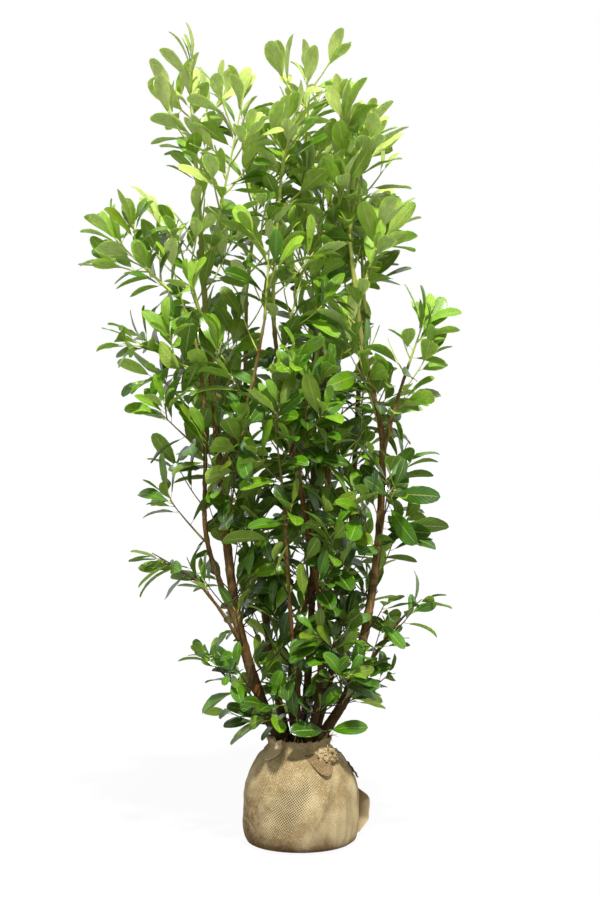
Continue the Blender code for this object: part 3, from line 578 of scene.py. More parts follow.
def burlap_surface(name, settings, pale=0.0):
    """Plain weave of jute: threads that go over and under, uneven in tone, with soil rubbed in low down,
    painted shade along the bottom edge and a painted highlight on the taut band.

    Pale runs from 0 to 1 for cloth painted paler, as if lit, and below 0 for cloth painted darker, as if in
    shade.
    """
    surface = Surface(name, metallic=0.0, specular_ior_level=0.2)
    spot = surface.drawn(WEAVE_MAP)
    warp, weft, _ = surface.axes(spot)
    warp = (warp * math.pi).math("SINE")
    weft = (weft * math.pi).math("SINE")
    over = warp * weft * 0.4
    warp_height = abs(warp) * 0.6 + over
    weft_height = abs(weft) * 0.6 - over
    weave = warp_height.math("MAXIMUM", weft_height)
    along_warp = surface.noise(surface.scaled(spot, (1.0, THREAD_DRAW, 1.0)), 1.3, 2.0)
    along_weft = surface.noise(surface.scaled(spot, (THREAD_DRAW, 1.0, 1.0)), 1.3, 2.0)
    thread = along_warp.math("MAXIMUM", along_weft)
    where = surface.place()
    x, y, height = surface.axes(where)
    patches = surface.noise(where, 11.0, 4.0)
    specks = surface.noise(where, 85.0, 3.0)
    slubs = surface.noise(where, 260.0, 2.0)
    grime = surface.step(specks, 0.40, 0.66)
    light, mid, dark = settings.light, settings.mid, settings.dark
    # pale lifts the patches of cloth painted as lit and lowers those of cloth painted as shaded
    shade = surface.mix(surface.step(patches + 0.16 * pale, 0.38, 0.66), mid, light)
    shade = surface.mix(surface.step(thread, 0.52, 0.74) * 0.4, shade, light)
    shade = surface.mix(surface.step(slubs, 0.55, 0.70) * 0.45, shade, toned(mid, 0.6))
    shade = surface.mix(surface.step(slubs, 0.30, 0.45), toned(light, 1.18), shade)
    low = 1.0 - surface.step(height + patches * 0.09, *STAIN_HEIGHTS)
    # painted shade: darker along the bottom edge, where the ball meets the floor
    edge = 1.0 - surface.step(height + patches * 0.03, *SHADED_EDGE_HEIGHTS)
    # darker round a place low on the left of the ball
    left = 1.0 - surface.step(surface.near(LEFT_DARKENING, where) + patches * 0.05, *LEFT_DARKENING_REACH)
    shade = surface.mix(low * (0.50 + grime * 0.45), shade, dark)
    shade = surface.mix(edge * 0.7, shade, toned(dark, 0.6))
    shade = surface.mix(left * (0.30 + grime * 0.45), shade, dark)
    # painted light and shade: a positive pale paints the cloth paler, as if lit; a negative one paints it
    # darker, as if in shade
    shade = surface.mix(abs(pale) * 0.6, shade, settings.loose if pale > 0.0 else dark)
    taut_and_highlit = open_and_highlit_part(surface, x, y, height, patches)
    gaps = 1.0 - surface.step(weave - taut_and_highlit * 0.17, 0.19, 0.48)
    # painted highlight: the taut band is painted paler, as if lit; the open gaps in it are the weave's own
    shade = surface.mix(taut_and_highlit * 0.5, shade, light)
    shade = surface.mix(gaps * (0.66 + taut_and_highlit * 0.34), shade, toned(dark, 0.20))
    surface.feed("Base Color", shade)
    surface.feed("Roughness", 0.82 + specks * 0.12)
    surface.bump(weave + thread * 0.35, 0.0016, 0.8)
    return surface.material


def soil_surface(settings):
    """Moist crumbly soil with paler dry grains."""
    surface = Surface("soil", metallic=0.0, specular_ior_level=0.3)
    where = surface.place()
    grains = surface.noise(where, 420.0, 4.0, 0.65)
    clods = surface.noise(where, 70.0, 3.0)
    wet, damp, dry = (toned(settings.soil, share) for share in (0.55, 1.3, 3.0))
    shade = surface.mix(surface.step(clods, 0.35, 0.7), wet, damp)
    shade = surface.mix(surface.step(grains, 0.62, 0.74) * 0.6, shade, dry)
    surface.feed("Base Color", shade)
    surface.feed("Roughness", 0.85 + grains * 0.1)
    surface.bump(grains + clods, 0.0015)
    return surface.material


def dry_leaf_surface(settings):
    """Dead leaf, blotched dark brown."""
    surface = Surface("dry leaf", metallic=0.0)
    blotches = surface.noise(surface.place(), 130.0, 3.0)
    dark, pale = (toned(settings.dark, share) for share in (0.45, 0.9))
    surface.feed("Base Color", surface.mix(surface.step(blotches, 0.35, 0.65), dark, pale))
    surface.feed("Roughness", 0.6 + blotches * 0.2)
    surface.bump(blotches, 0.0006)
    return surface.material


def thread_surface(settings):
    """Single jute threads."""
    surface = Surface("jute thread", metallic=0.0, specular_ior_level=0.2)
    fibres = surface.noise(surface.place(), 260.0, 3.0)
    surface.feed("Base Color", surface.mix(fibres, settings.mid, settings.light))
    surface.feed("Roughness", 0.8 + fibres * 0.15)
    surface.bump(fibres, 0.0004)
    return surface.material


# -------- limbs

FLARE = 1.22
FLARE_HEIGHT = 0.05
TAPER_POWER = 0.85
RING_SPACING = 0.005
JOINT_SPACING = 0.045
JOINT_WIDTH = 0.006
# a limb thinner than this has flatter joints
FULL_JOINT_RADIUS = 0.008
BARK_LUMP = 0.022
BARK_RIDGE = 0.0045


class LimbLine(NamedTuple):
    """A limb's centre line and its radius at each point."""

    path: list
    radii: list


def spline(knots, spacing):
    """Points about a spacing apart on a smooth curve through the knots."""
    chain = [knots[0] * 2.0 - knots[1], *knots, knots[-1] * 2.0 - knots[-2]]
    points = []
    for p, q, r, s in zip(chain, chain[1:], chain[2:], chain[3:]):
        steps = max(1, round((r - q).length / spacing))
        for k in range(steps):
            t = k / steps
            points.append(0.5 * (2.0 * q + (r - p) * t + (2.0 * p - 5.0 * q + 4.0 * r - s) * t * t
                                 + (3.0 * q - p - 3.0 * r + s) * t ** 3))
    points.append(knots[-1].copy())
    return points


def distances(path):
    """How far along a path each of its points lies."""
    gone = [0.0]
    for a, b in zip(path, path[1:]):
        gone.append(gone[-1] + (b - a).length)
    return gone


def limb_line(limb, grown):
    """The centre line of a limb, from the soil or from its parent's side."""
    knots = [Vector(knot) for knot in limb.knots]
    if limb.parent:
        parent = grown[limb.parent]
        k = point_at_height(parent, limb.start[0])
        level = knots[0] - parent.path[k]
        level.z = 0.0
        knots.insert(0, parent.path[k] + level.normalized() * parent.radii[k] * 0.5)
    else:
        knots.insert(0, Vector((*limb.start, SOIL_TOP)))
    path = spline(knots, RING_SPACING)
    gone = distances(path)
    radii = []
    for run in gone:
        radius = limb.foot_radius + (limb.tip_radius - limb.foot_radius) * (run / gone[-1]) ** TAPER_POWER
        swell = 0.0 if limb.parent else (FLARE - 1.0) * math.exp(-run / FLARE_HEIGHT)
        radii.append(radius * (1.0 + swell))
    return LimbLine(path, radii)


def point_at_height(line, height):
    """The index of the first point of a rising limb at a height."""
    return next((k for k, point in enumerate(line.path) if point.z >= height), len(line.path) - 1)


def grow_lines():
    """The centre line of every limb, by name."""
    grown = {}
    for limb in LIMBS:
        grown[limb.name] = limb_line(limb, grown)
    return grown


def deselect():
    """Leaves nothing selected, for an operator acts on all that is."""
    for thing in bpy.context.selected_objects:
        thing.select_set(False)


def activate(thing):
    """Makes a thing the active one and the only one selected."""
    deselect()
    thing.select_set(True)
    bpy.context.view_layer.objects.active = thing


def join(thing, *others):
    """Makes the others part of a thing."""
    activate(thing)
    for other in others:
        other.select_set(True)
    bpy.ops.object.join()


def apply_modifier(thing, kind, **settings):
    """Adds a modifier with its settings and applies it."""
    activate(thing)
    modifier = thing.modifiers.new(kind.title(), kind)
    for name, value in settings.items():
        setattr(modifier, name, value)
    bpy.ops.object.modifier_apply(modifier=modifier.name)


def clouds(name, size, depth=2):
    """Soft noise for a Displace modifier, of lumps about a size across."""
    texture = bpy.data.textures.new(name, "CLOUDS")
    texture.noise_scale = size
    texture.noise_depth = depth
    return texture


def edit_all():
    """Opens the active thing in edit mode, selected all over."""
    bpy.ops.object.mode_set(mode="EDIT")
    bpy.ops.mesh.select_all(action="SELECT")


def new_grid(name, columns, rows):
    """A flat square sheet, one unit wide and so many faces each way."""
    deselect()
    bpy.ops.mesh.primitive_grid_add(x_subdivisions=columns, y_subdivisions=rows, size=1.0)
    thing = bpy.context.active_object
    thing.name = name
    return thing


def dress(thing, surfaces, slot, *nodes):
    """Gives a finished piece its materials and body, and hides the nodes that it stands for. Its slot is not
    used.
    """
    for surface in surfaces:
        thing.data.materials.append(surface)
    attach(thing, BODY)
    if nodes:
        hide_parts(*nodes)
    return thing


def joints_along(name, reach):
    """Where the joints of a limb are, as lengths from its foot."""
    chance = random.Random(name)
    joints = []
    place = chance.uniform(0.02, 0.05)
    while place < reach - 0.02:
        joints.append(place)
        place += JOINT_SPACING * chance.uniform(0.6, 1.5)
    return joints


def bark_tube(name, line, settings):
    """A limb as a bevelled curve made a mesh, with joints that stand out and the bark's relief."""
    gone = distances(line.path)
    joints = joints_along(name, gone[-1])
    curve = bpy.data.curves.new(name, "CURVE")
    curve.dimensions = "3D"
    curve.bevel_depth = 1.0
    curve.bevel_resolution = 4
    curve.use_fill_caps = True
    centre = curve.splines.new("POLY")
    centre.points.add(len(line.path) - 1)
    for point, spot, radius, run in zip(centre.points, line.path, line.radii, gone):
        swell = sum(math.exp(-((run - joint) / JOINT_WIDTH) ** 2) for joint in joints)
        point.co = (*spot, 1.0)
        point.radius = radius + settings.swelling * swell * min(1.0, radius / FULL_JOINT_RADIUS)
    thing = bpy.data.objects.new(name, curve)
    bpy.context.scene.collection.objects.link(thing)
    activate(thing)
    bpy.ops.object.convert(target="MESH")
    lumps = clouds(name + "_lumps", BARK_LUMP)
    apply_modifier(thing, "DISPLACE", texture=lumps, strength=settings.lumps, mid_level=0.5)
    ridges = clouds(name + "_bark", BARK_RIDGE, 3)
    apply_modifier(thing, "DISPLACE", texture=ridges, strength=settings.relief, mid_level=0.5)
    thing.data.shade_smooth()
    return thing


# -------- twigs

TWIG_RADIUS = 0.0034
SIDE_TWIG_RADIUS = 0.0021
TWIG_TIP_RADII = (0.0012, 0.0021)
YOUNG_SWELL = 0.35
TWIG_SIDES = 6
TWIG_STEPS = 9
SIDE_TWIG_STEPS = 5
SIDE_TWIG_SPACING = 0.050
SIDE_TWIG_SHARES = (0.14, 0.86)
SIDE_TWIG_SPREAD = (38.0, 58.0)
SIDE_TWIG_LENGTHS = (0.54, 0.36)
SIDE_TWIG_LONGEST = 0.13
SIDE_TWIG_LIFT = 0.45
FILL_SPACINGS = (0.034, 0.042, 0.082)
FILL_START = 0.295
FILL_LENGTH = (0.09, 0.17)
FILL_RISES = ((-12.0, 30.0), (25.0, 62.0))
LOW_BARE = 0.28


class Shoot(NamedTuple):
    """A twig: the points and radii it runs through, the mass it belongs to, and its leafless share."""

    path: list
    radii: list
    mass: str
    bare: float


class Clearing(NamedTuple):
    """An opening through the crown, as seen from the front: its middle and its half sizes."""

    x: float
    z: float
    half_width: float
    half_height: float


# the front of the neck, which the key light reaches: from side to side, at some heights, and how deep
SUNLIT_SIDES = (-0.030, 0.115)
SUNLIT_HEIGHTS = (0.200, 0.215, 0.230, 0.245, 0.258)
SUNLIT_DEPTH = 0.015
SHADE_TOP = 0.75
CLEARINGS = tuple(Clearing(*row) for row in (
    # where the sky shows through, from the top down
    (-0.257, 2.200, 0.022, 0.050), (0.065, 2.140, 0.034, 0.028), (-0.090, 2.120, 0.028, 0.065),
    (-0.187, 2.030, 0.022, 0.022), (-0.181, 1.911, 0.025, 0.028), (0.220, 1.850, 0.045, 0.020),
    (-0.246, 1.803, 0.017, 0.020), (-0.156, 1.795, 0.024, 0.032), (-0.332, 1.790, 0.034, 0.040),
    (0.061, 1.772, 0.014, 0.014), (0.042, 1.674, 0.012, 0.028), (-0.092, 1.646, 0.024, 0.020),
    (0.006, 1.607, 0.022, 0.018), (0.165, 1.591, 0.017, 0.020), (-0.360, 1.585, 0.022, 0.022),
    (-0.120, 1.560, 0.018, 0.018), (-0.064, 1.535, 0.018, 0.020), (-0.028, 1.512, 0.016, 0.022),
    (-0.285, 1.512, 0.016, 0.024), (-0.025, 1.501, 0.014, 0.022), (0.250, 1.490, 0.062, 0.052),
    (-0.190, 1.490, 0.022, 0.014), (-0.131, 1.470, 0.024, 0.040), (-0.081, 1.426, 0.020, 0.022),
    (0.201, 1.404, 0.020, 0.022), (-0.078, 1.398, 0.022, 0.020), (0.262, 1.375, 0.032, 0.034),
    (0.131, 1.342, 0.032, 0.026), (-0.167, 1.323, 0.015, 0.015), (0.137, 1.203, 0.017, 0.019),
    (-0.120, 1.180, 0.015, 0.017), (-0.400, 1.160, 0.090, 0.018), (-0.206, 1.133, 0.013, 0.017),
    (-0.112, 1.127, 0.017, 0.021), (-0.064, 1.100, 0.020, 0.015), (-0.086, 1.027, 0.030, 0.014),
    (0.022, 1.027, 0.018, 0.015), (-0.259, 0.994, 0.022, 0.014), (-0.320, 0.950, 0.042, 0.038),
    (-0.187, 0.938, 0.016, 0.021), (-0.064, 0.932, 0.022, 0.012), (-0.365, 0.850, 0.085, 0.060),
    (-0.218, 0.790, 0.017, 0.036), (0.270, 0.735, 0.046, 0.038), (0.374, 0.709, 0.048, 0.018),
    (0.042, 0.681, 0.011, 0.022), (-0.243, 0.676, 0.022, 0.039), (-0.262, 0.622, 0.048, 0.055),
    (0.340, 0.620, 0.040, 0.024), (-0.298, 0.477, 0.050, 0.026), (-0.243, 0.418, 0.052, 0.024),
    (0.142, 0.365, 0.028, 0.030),
    # where a stem shows through
    (0.223, 0.930, 0.014, 0.100), (-0.190, 0.750, 0.015, 0.090), (0.034, 0.720, 0.015, 0.060),
    (-0.148, 0.540, 0.015, 0.065), (-0.122, 0.432, 0.016, 0.034),
))


def between(ends, share):
    """The value at a share of the way from one end to the other."""
    return ends[0] + (ends[1] - ends[0]) * share


def rise_between(low, high, value):
    """0 below low, 1 above high, and straight between."""
    return min(1.0, max(0.0, (value - low) / (high - low)))


def heading_of(azimuth, rise):
    """The direction at an angle round the plant from +X and an angle above level, in degrees."""
    turn = math.radians(azimuth)
    tip = math.radians(rise)
    return Vector((math.cos(turn) * math.cos(tip), math.sin(turn) * math.cos(tip), math.sin(tip)))


def shoot_path(start, heading, reach, lift, steps):
    """The points of a shoot that turns up towards the light as it grows."""
    points = [start]
    for _ in range(steps):
        heading = (heading + UP * lift / steps).normalized()
        points.append(points[-1] + heading * reach / steps)
    return points


def along(path, share):
    """The place and direction at a share of a path's length."""
    spot = share * (len(path) - 1)
    k = min(int(spot), len(path) - 2)
    return path[k].lerp(path[k + 1], spot - k), (path[k + 1] - path[k]).normalized()


def round_about(axis, angle, spread):
    """The direction that leaves an axis by spread, at an angle round it."""
    side = axis.cross(UP if abs(axis.z) < 0.9 else Vector((1.0, 0.0, 0.0))).normalized()
    out = side * math.cos(angle) + axis.cross(side) * math.sin(angle)
    return axis * math.cos(spread) + out * math.sin(spread)


def make_shoot(path, foot, mass, bare):
    """A shoot along a path: thicker the younger it is, and bare at its foot low on the plant."""
    steps = len(path) - 1
    young = rise_between(1.35, 1.85, path[-1].z)
    ends = (foot * (1.0 + YOUNG_SWELL * young), between(TWIG_TIP_RADII, young))
    radii = [between(ends, k / steps) for k in range(steps + 1)]
    low = 1.0 - rise_between(0.60, 0.95, path[-1].z)
    return Shoot(path, radii, mass, bare + LOW_BARE * low)


def main_shoot(mass, lines):
    """The one twig that a mass grows from, rooted inside its limb."""
    line = lines[mass.limb]
    heading = heading_of(mass.azimuth, mass.rise)
    if mass.height:
        k = point_at_height(line, mass.height)
        level = Vector((heading.x, heading.y, 0.0)).normalized()
        start = line.path[k] + level * line.radii[k] * 0.5
        foot = TWIG_RADIUS
    else:
        start = line.path[-2].copy()
        foot = line.radii[-1] * 0.98
    return make_shoot(shoot_path(start, heading, mass.reach, mass.lift, TWIG_STEPS), foot, mass.name, 0.10)


def towards_key(azimuth, rise):
    """The direction of the key light, from its angle off the front and its height, in radians."""
    return heading_of(math.degrees(azimuth) - 90.0, math.degrees(rise))


def in_clearing(point):
    """Whether a point lies in an open part of the crown, on the line of sight from the front."""
    nearer = VIEW_DISTANCE / (VIEW_DISTANCE + point.y)
    x = point.x * nearer
    z = VIEW_HEIGHT + (point.z - VIEW_HEIGHT) * nearer
    return any(math.hypot((x - gap.x) / gap.half_width, (z - gap.z) / gap.half_height) < 1.0
               for gap in CLEARINGS)


def shades_knot(point):
    """Whether a point stands between the key light and the front of the neck, where the knot is."""
    if point.z > SHADE_TOP:
        return False
    towards = towards_key(KEY_AZIMUTH, KEY_RISE)
    for height in SUNLIT_HEIGHTS:
        spot = point - towards * ((point.z - height) / towards.z)
        near = abs(math.hypot(spot.x, spot.y) - radius_at(height)) < SUNLIT_DEPTH
        if near and spot.y < 0.0 and SUNLIT_SIDES[0] < spot.x < SUNLIT_SIDES[1]:
            return True
    return False


def side_shoots(mass, main):
    """The twigs that leave a mass's own twig at the golden angle round it."""
    chance = random.Random(mass.name)
    turn = chance.uniform(0.0, 2.0 * math.pi)
    count = max(mass.side_twigs, round(mass.reach / SIDE_TWIG_SPACING))
    for k in range(count):
        share = between(SIDE_TWIG_SHARES, k / (count - 1))
        place, heading = along(main.path, share)
        turn += GOLDEN_ANGLE
        spread = math.radians(chance.uniform(*SIDE_TWIG_SPREAD))
        reach = min(SIDE_TWIG_LONGEST, mass.reach * between(SIDE_TWIG_LENGTHS, share))
        reach *= chance.uniform(0.75, 1.15)
        away = round_about(heading, turn, spread)
        path = shoot_path(place, away, reach, SIDE_TWIG_LIFT, SIDE_TWIG_STEPS)
        if not in_clearing(path[-1]):
            yield make_shoot(path, SIDE_TWIG_RADIUS, mass.name, 0.18)


def distance_to(point, path):
    """From a point to the nearest place on a path."""
    nearest = math.inf
    for a, b in zip(path, path[1:]):
        run = b - a
        share = min(1.0, max(0.0, (point - a).dot(run) / run.dot(run)))
        nearest = min(nearest, (point - a - run * share).length)
    return nearest


def fill_shoots(lines, mains):
    """Short leafy twigs all along the limbs, each in the mass whose own twig is nearest."""
    for limb in LIMBS:
        chance = random.Random("fill " + limb.name)
        line = lines[limb.name]
        gone = distances(line.path)
        turn = chance.uniform(0.0, 2.0 * math.pi)
        run = 0.0
        place = line.path[0]
        while True:
            foot = 1.0 - rise_between(0.38, 0.46, place.z)
            spacing = between(FILL_SPACINGS[1:], rise_between(0.5, 0.9, place.z))
            run += between((spacing, FILL_SPACINGS[0]), foot) * chance.uniform(0.7, 1.3)
            if run > gone[-1] - 0.02:
                break
            k = next(k for k, far in enumerate(gone) if far >= run)
            place = line.path[k]
            turn += GOLDEN_ANGLE
            reach = chance.uniform(*FILL_LENGTH)
            ends = [between(pair, 1.0 - foot) for pair in zip(*FILL_RISES)]
            heading = heading_of(math.degrees(turn), chance.uniform(*ends))
            if place.z < FILL_START:
                continue
            start = place + Vector((heading.x, heading.y, 0.0)).normalized() * line.radii[k] * 0.5
            path = shoot_path(start, heading, reach, SIDE_TWIG_LIFT, SIDE_TWIG_STEPS)
            near = min(mains, key=lambda name: distance_to(path[-1], mains[name].path))
            if not in_clearing(path[-1]):
                yield make_shoot(path, SIDE_TWIG_RADIUS, near, 0.25)


def grow_shoots(lines):
    """Every twig of the plant: each mass's own, those on its sides, and those all along the limbs."""
    mains = {mass.name: main_shoot(mass, lines) for mass in MASSES}
    shoots = list(mains.values())
    for mass in MASSES:
        shoots.extend(side_shoots(mass, mains[mass.name]))
    shoots.extend(fill_shoots(lines, mains))
    return shoots


# -------- meshes from arrays


def mesh_piece(name, verts, faces, indices=None, uvs=None, sharp=None):
    """An object from arrays: corner places, faces of one size each, their finishes, map and sharp edges."""
    mesh = bpy.data.meshes.new(name)
    totals = np.concatenate([np.full(len(part), part.shape[1]) for part in faces])
    corners = np.concatenate([part.ravel() for part in faces])
    mesh.vertices.add(len(verts))
    mesh.vertices.foreach_set("co", verts.astype(np.float32).ravel())
    mesh.loops.add(len(corners))
    mesh.loops.foreach_set("vertex_index", corners.astype(np.int32))
    mesh.polygons.add(len(totals))
    mesh.polygons.foreach_set("loop_start", (np.cumsum(totals) - totals).astype(np.int32))
    if indices is not None:
        mesh.polygons.foreach_set("material_index", indices.astype(np.int32))
    if uvs is not None:
        layer = mesh.uv_layers.new(name=LEAF_MAP)
        layer.uv.foreach_set("vector", uvs.astype(np.float32).ravel())
    mesh.update(calc_edges=True)
    mesh.validate()
    mesh.shade_smooth()
    if sharp is not None:
        ends = np.empty(len(mesh.edges) * 2, np.int32)
        mesh.edges.foreach_get("vertices", ends)
        marks = mesh.attributes.new("sharp_edge", "BOOLEAN", "EDGE")
        marks.data.foreach_set("value", sharp(ends.reshape(-1, 2)))
    thing = bpy.data.objects.new(name, mesh)
    bpy.context.scene.collection.objects.link(thing)
    return thing


def twig_verts(shoot):
    """Rings round a shoot, and the two ends of its axis."""
    path = shoot.path
    tangents = [path[1] - path[0]] + [b - a for a, b in zip(path, path[2:])] + [path[-1] - path[-2]]
    turn = tangents[0].normalized().to_track_quat("Z", "X")
    rings = []
    for point, tangent, radius in zip(path, tangents, shoot.radii):
        turn = (turn @ UP).rotation_difference(tangent.normalized()) @ turn
        for k in range(TWIG_SIDES):
            angle = 2.0 * math.pi * k / TWIG_SIDES
            rings.append(point + turn @ Vector((math.cos(angle), math.sin(angle), 0.0)) * radius)
    return rings + [path[0], path[-1] + tangents[-1].normalized() * shoot.radii[-1] * 2.0]


def twig_piece(name, shoots):
    """All the twigs of one finish as one mesh of closed tubes."""
    verts, quads, caps = [], [], []
    for shoot in shoots:
        first = len(verts)
        verts.extend(twig_verts(shoot))
        last = first + (len(shoot.path) - 1) * TWIG_SIDES
        for k in range(TWIG_SIDES):
            after = (k + 1) % TWIG_SIDES
            for ring in range(first, last, TWIG_SIDES):
                quads.append((ring + k, ring + after, ring + TWIG_SIDES + after, ring + TWIG_SIDES + k))
            caps.append((first + after, first + k, last + TWIG_SIDES))
            caps.append((last + k, last + after, last + TWIG_SIDES + 1))
    return mesh_piece(name, np.array([tuple(v) for v in verts]), [np.array(quads), np.array(caps)])


# -------- leaves

LEAF_RUNS = (0.0, 0.07, 0.20, 0.38, 0.56, 0.73, 0.86, 0.95, 1.0)
LEAF_SIDES = (-1.0, -0.80, 0.0, 0.80, 1.0)
STALK_SIDES = 3
# each ring of the stalk: its share of the way from twig to blade, and how thick it is
STALK_RINGS = ((-0.10, 1.15), (0.5, 0.85), (1.12, 0.55))
STALK_SAG = 0.6
STALK_RADIUS = 0.0012
LEAVES_AT_TIP = 4
TIP_SPACING = 0.009
LEAF_SPREADS = ((32.0, 84.0), (14.0, 62.0))
LEAF_SWAY = 10.0
LEAF_ROLL = 28.0
LEAF_SIZES = (0.72, 1.26)
TIP_SIZE = 0.66
LEAF_FULLNESS = (1.10, 1.55)
LEAF_ENDS = (0.82, 0.50)
LEAF_TURNS = (0.0, 40.0, -40.0, 85.0, -85.0, 150.0)
LEAF_BEND = (0.0, 0.55)
FACE_OUT = 0.7
LOW_SHRINK = 0.238
# how far leaves reach past the solid of their mass: sideways and up, and down
REACH_MARGIN = 0.035
HANG_MARGIN = 0.14
LIMB_GAP = 0.010
CELL = 0.11
# the pieces that hold the leaves, with the greatest height of the masses in each
ZONES = (("foliage_low", 0.80), ("foliage_middle", 1.30), ("foliage_high", 1.75), ("foliage_top", math.inf))
ZONE_MARGIN = 0.12
# the pieces that hold the twigs: the heights of their tips, and their colour
TWIG_ZONES = (("twigs_old", 0.0, 0.85, "old_twig"), ("twigs_woody", 0.85, 1.35, "woody_twig"),
              ("twigs_green", 1.35, math.inf, "green_twig"))


class Leaf(NamedTuple):
    """A leaf: where its stalk leaves the twig, the way it runs and faces, its size, finish and bend."""

    place: Vector
    heading: Vector
    facing: Vector
    size: float
    tint: str
    bend: float
    zone: str


# a rough leaf: its stalk, its sag, and two rows of corners by run, width, rise and sag
ROUGH_STALK = 0.012
ROUGH_SAG = 0.35
ROUGH_ROWS = ((0.35, 0.9, 0.25, 0.0), (0.72, 0.8, 0.2, 0.4))
ROUGH_FACES = ((0, 2, 1), (1, 2, 4), (1, 4, 3), (3, 4, 5))


def rough_leaf(leaf, blade, width):
    """The corners and faces of a rough leaf, for tests of room."""
    side = leaf.heading.cross(leaf.facing).normalized()
    up = side.cross(leaf.heading)
    reach = blade * leaf.size
    root = leaf.place + leaf.heading * ROUGH_STALK
    half = 0.5 * width * reach
    sag = up * (leaf.bend * reach * ROUGH_SAG)
    corners = [root]
    for run, wide, rise, drop in ROUGH_ROWS:
        for aside in (side, -side):
            spot = root + leaf.heading * reach * run + aside * half * wide
            corners.append(spot + up * half * rise - sag * drop)
    corners.append(root + leaf.heading * reach - sag)
    return corners, ROUGH_FACES


class Canopy:
    """Holds the leaves that have their place, in cells of space, and the limbs they keep clear of."""

    def __init__(self, lines, boxes):
        self.boxes = boxes
        self.cells = {}
        self.spots = {}
        for line in lines.values():
            for point, radius in zip(line.path[::4], line.radii[::4]):
                self.spots.setdefault(self.cell(point), []).append((point, radius))

    def cell(self, point):
        """The cell that holds a point."""
        return tuple(int(math.floor(c / CELL)) for c in point)

    def near(self, table, point):
        """What a table holds in the cells round a point."""
        x, y, z = self.cell(point)
        for i in (x - 1, x, x + 1):
            for j in (y - 1, y, y + 1):
                for k in (z - 1, z, z + 1):
                    yield from table.get((i, j, k), ())

    def within_reach(self, mass, point):
        """Whether a point is close enough to the solid of its mass."""
        low, high = self.boxes[mass]
        below = (REACH_MARGIN, REACH_MARGIN, HANG_MARGIN)
        return all(a - margin < c < b + REACH_MARGIN for a, margin, c, b in zip(low, below, point, high))

    def has_room(self, corners, faces):
        """Takes a rough leaf's place if it touches no limb and crosses no other leaf."""
        middle = 0.5 * (corners[0] + corners[5])
        tests = [*corners[1:], 0.5 * (corners[1] + corners[2]), 0.5 * (corners[3] + corners[4])]
        for point, radius in self.near(self.spots, middle):
            for test in tests:
                if (test - point).length < radius + LIMB_GAP:
                    return False
        tree = BVHTree.FromPolygons(corners, faces)
        for other in self.near(self.cells, middle):
            if tree.overlap(other):
                return False
        self.cells.setdefault(self.cell(middle), []).append(tree)
        return True


# a leaf's age is counted in tints, and grows down the plant, into the crown and along a twig from its tip
AGES = {mass.name: mass.age for mass in MASSES}
AGE_DOWN = 6.9
AGE_INSIDE = 1.0
AGE_ALONG = 3.0
TIP_YOUTH = 1.5
AGE_SPREAD = 1.9
YOUNGEST_LOW = 3.4


def tint_of(mass, height, from_tip, inner, chance):
    """The finish of a leaf: lime at the top and at the tips, deeper low down, inside and along twigs."""
    age = AGE_DOWN * (1.0 - rise_between(0.55, 2.05, height)) + AGE_INSIDE * inner + AGES[mass]
    age += AGE_ALONG * rise_between(0.012, 0.10, from_tip) - TIP_YOUTH
    youngest = YOUNGEST_LOW * (1.0 - rise_between(0.9, 1.8, height))
    pick = max(youngest, chance.gauss(age, AGE_SPREAD))
    return UPPER_TINTS[min(len(UPPER_TINTS) - 1, max(0, round(pick)))]


def leaves_of(shoot, settings, canopy, zone, order):
    """Leaves along a twig from its tip down at the golden angle round it, each where it has room."""
    chance = random.Random(f"{shoot.mass} {order}")
    reach = distances(shoot.path)[-1]
    turn = chance.uniform(0.0, 2.0 * math.pi)
    run = reach - 0.002
    k = 0
    while run > reach * shoot.bare:
        share = run / reach
        place, heading = along(shoot.path, share)
        turn += GOLDEN_ANGLE
        from_tip = reach - run
        ends = [between(pair, rise_between(1.0, 1.8, place.z)) for pair in zip(*LEAF_SPREADS)]
        spread = between(ends, rise_between(0.0, 0.10, from_tip)) + chance.uniform(-LEAF_SWAY, LEAF_SWAY)
        size = chance.uniform(*LEAF_SIZES) * between((TIP_SIZE, 1.0), rise_between(0.0, 0.035, from_tip))
        from_axis = math.hypot(place.x, place.y)
        outer = rise_between(0.12, 0.22, from_axis) * (1.0 - rise_between(0.60, 0.90, place.z))
        size *= 1.0 - LOW_SHRINK * outer
        roll = math.radians(chance.gauss(0.0, LEAF_ROLL))
        bend = chance.uniform(*LEAF_BEND)
        inner = 1.0 - rise_between(0.05, 0.22, from_axis)
        tint = tint_of(shoot.mass, place.z, from_tip, inner, chance)
        out = Vector((place.x, place.y, 0.0)).normalized()
        light = heading + UP + out * FACE_OUT * (1.0 - rise_between(1.3, 1.9, place.z))
        for shift in LEAF_TURNS:
            away = round_about(heading, turn + math.radians(shift), math.radians(spread))
            facing = Matrix.Rotation(roll, 3, away) @ (light - away * light.dot(away))
            leaf = Leaf(place, away, facing, size, tint, bend, zone)
            corners, faces = rough_leaf(leaf, settings.blade, settings.width)
            middle = 0.5 * (corners[0] + corners[5])
            marks = (corners[0], corners[3], corners[4], corners[5], middle)
            if any(in_clearing(mark) for mark in marks) or shades_knot(middle) or shades_knot(corners[5]):
                continue
            if canopy.within_reach(shoot.mass, corners[5]) and canopy.has_room(corners, faces):
                yield leaf
                break
        if k < LEAVES_AT_TIP:
            run -= TIP_SPACING
        else:
            run -= settings.spacing * chance.uniform(0.8, 1.2) * (1.0 + outer)
        k += 1


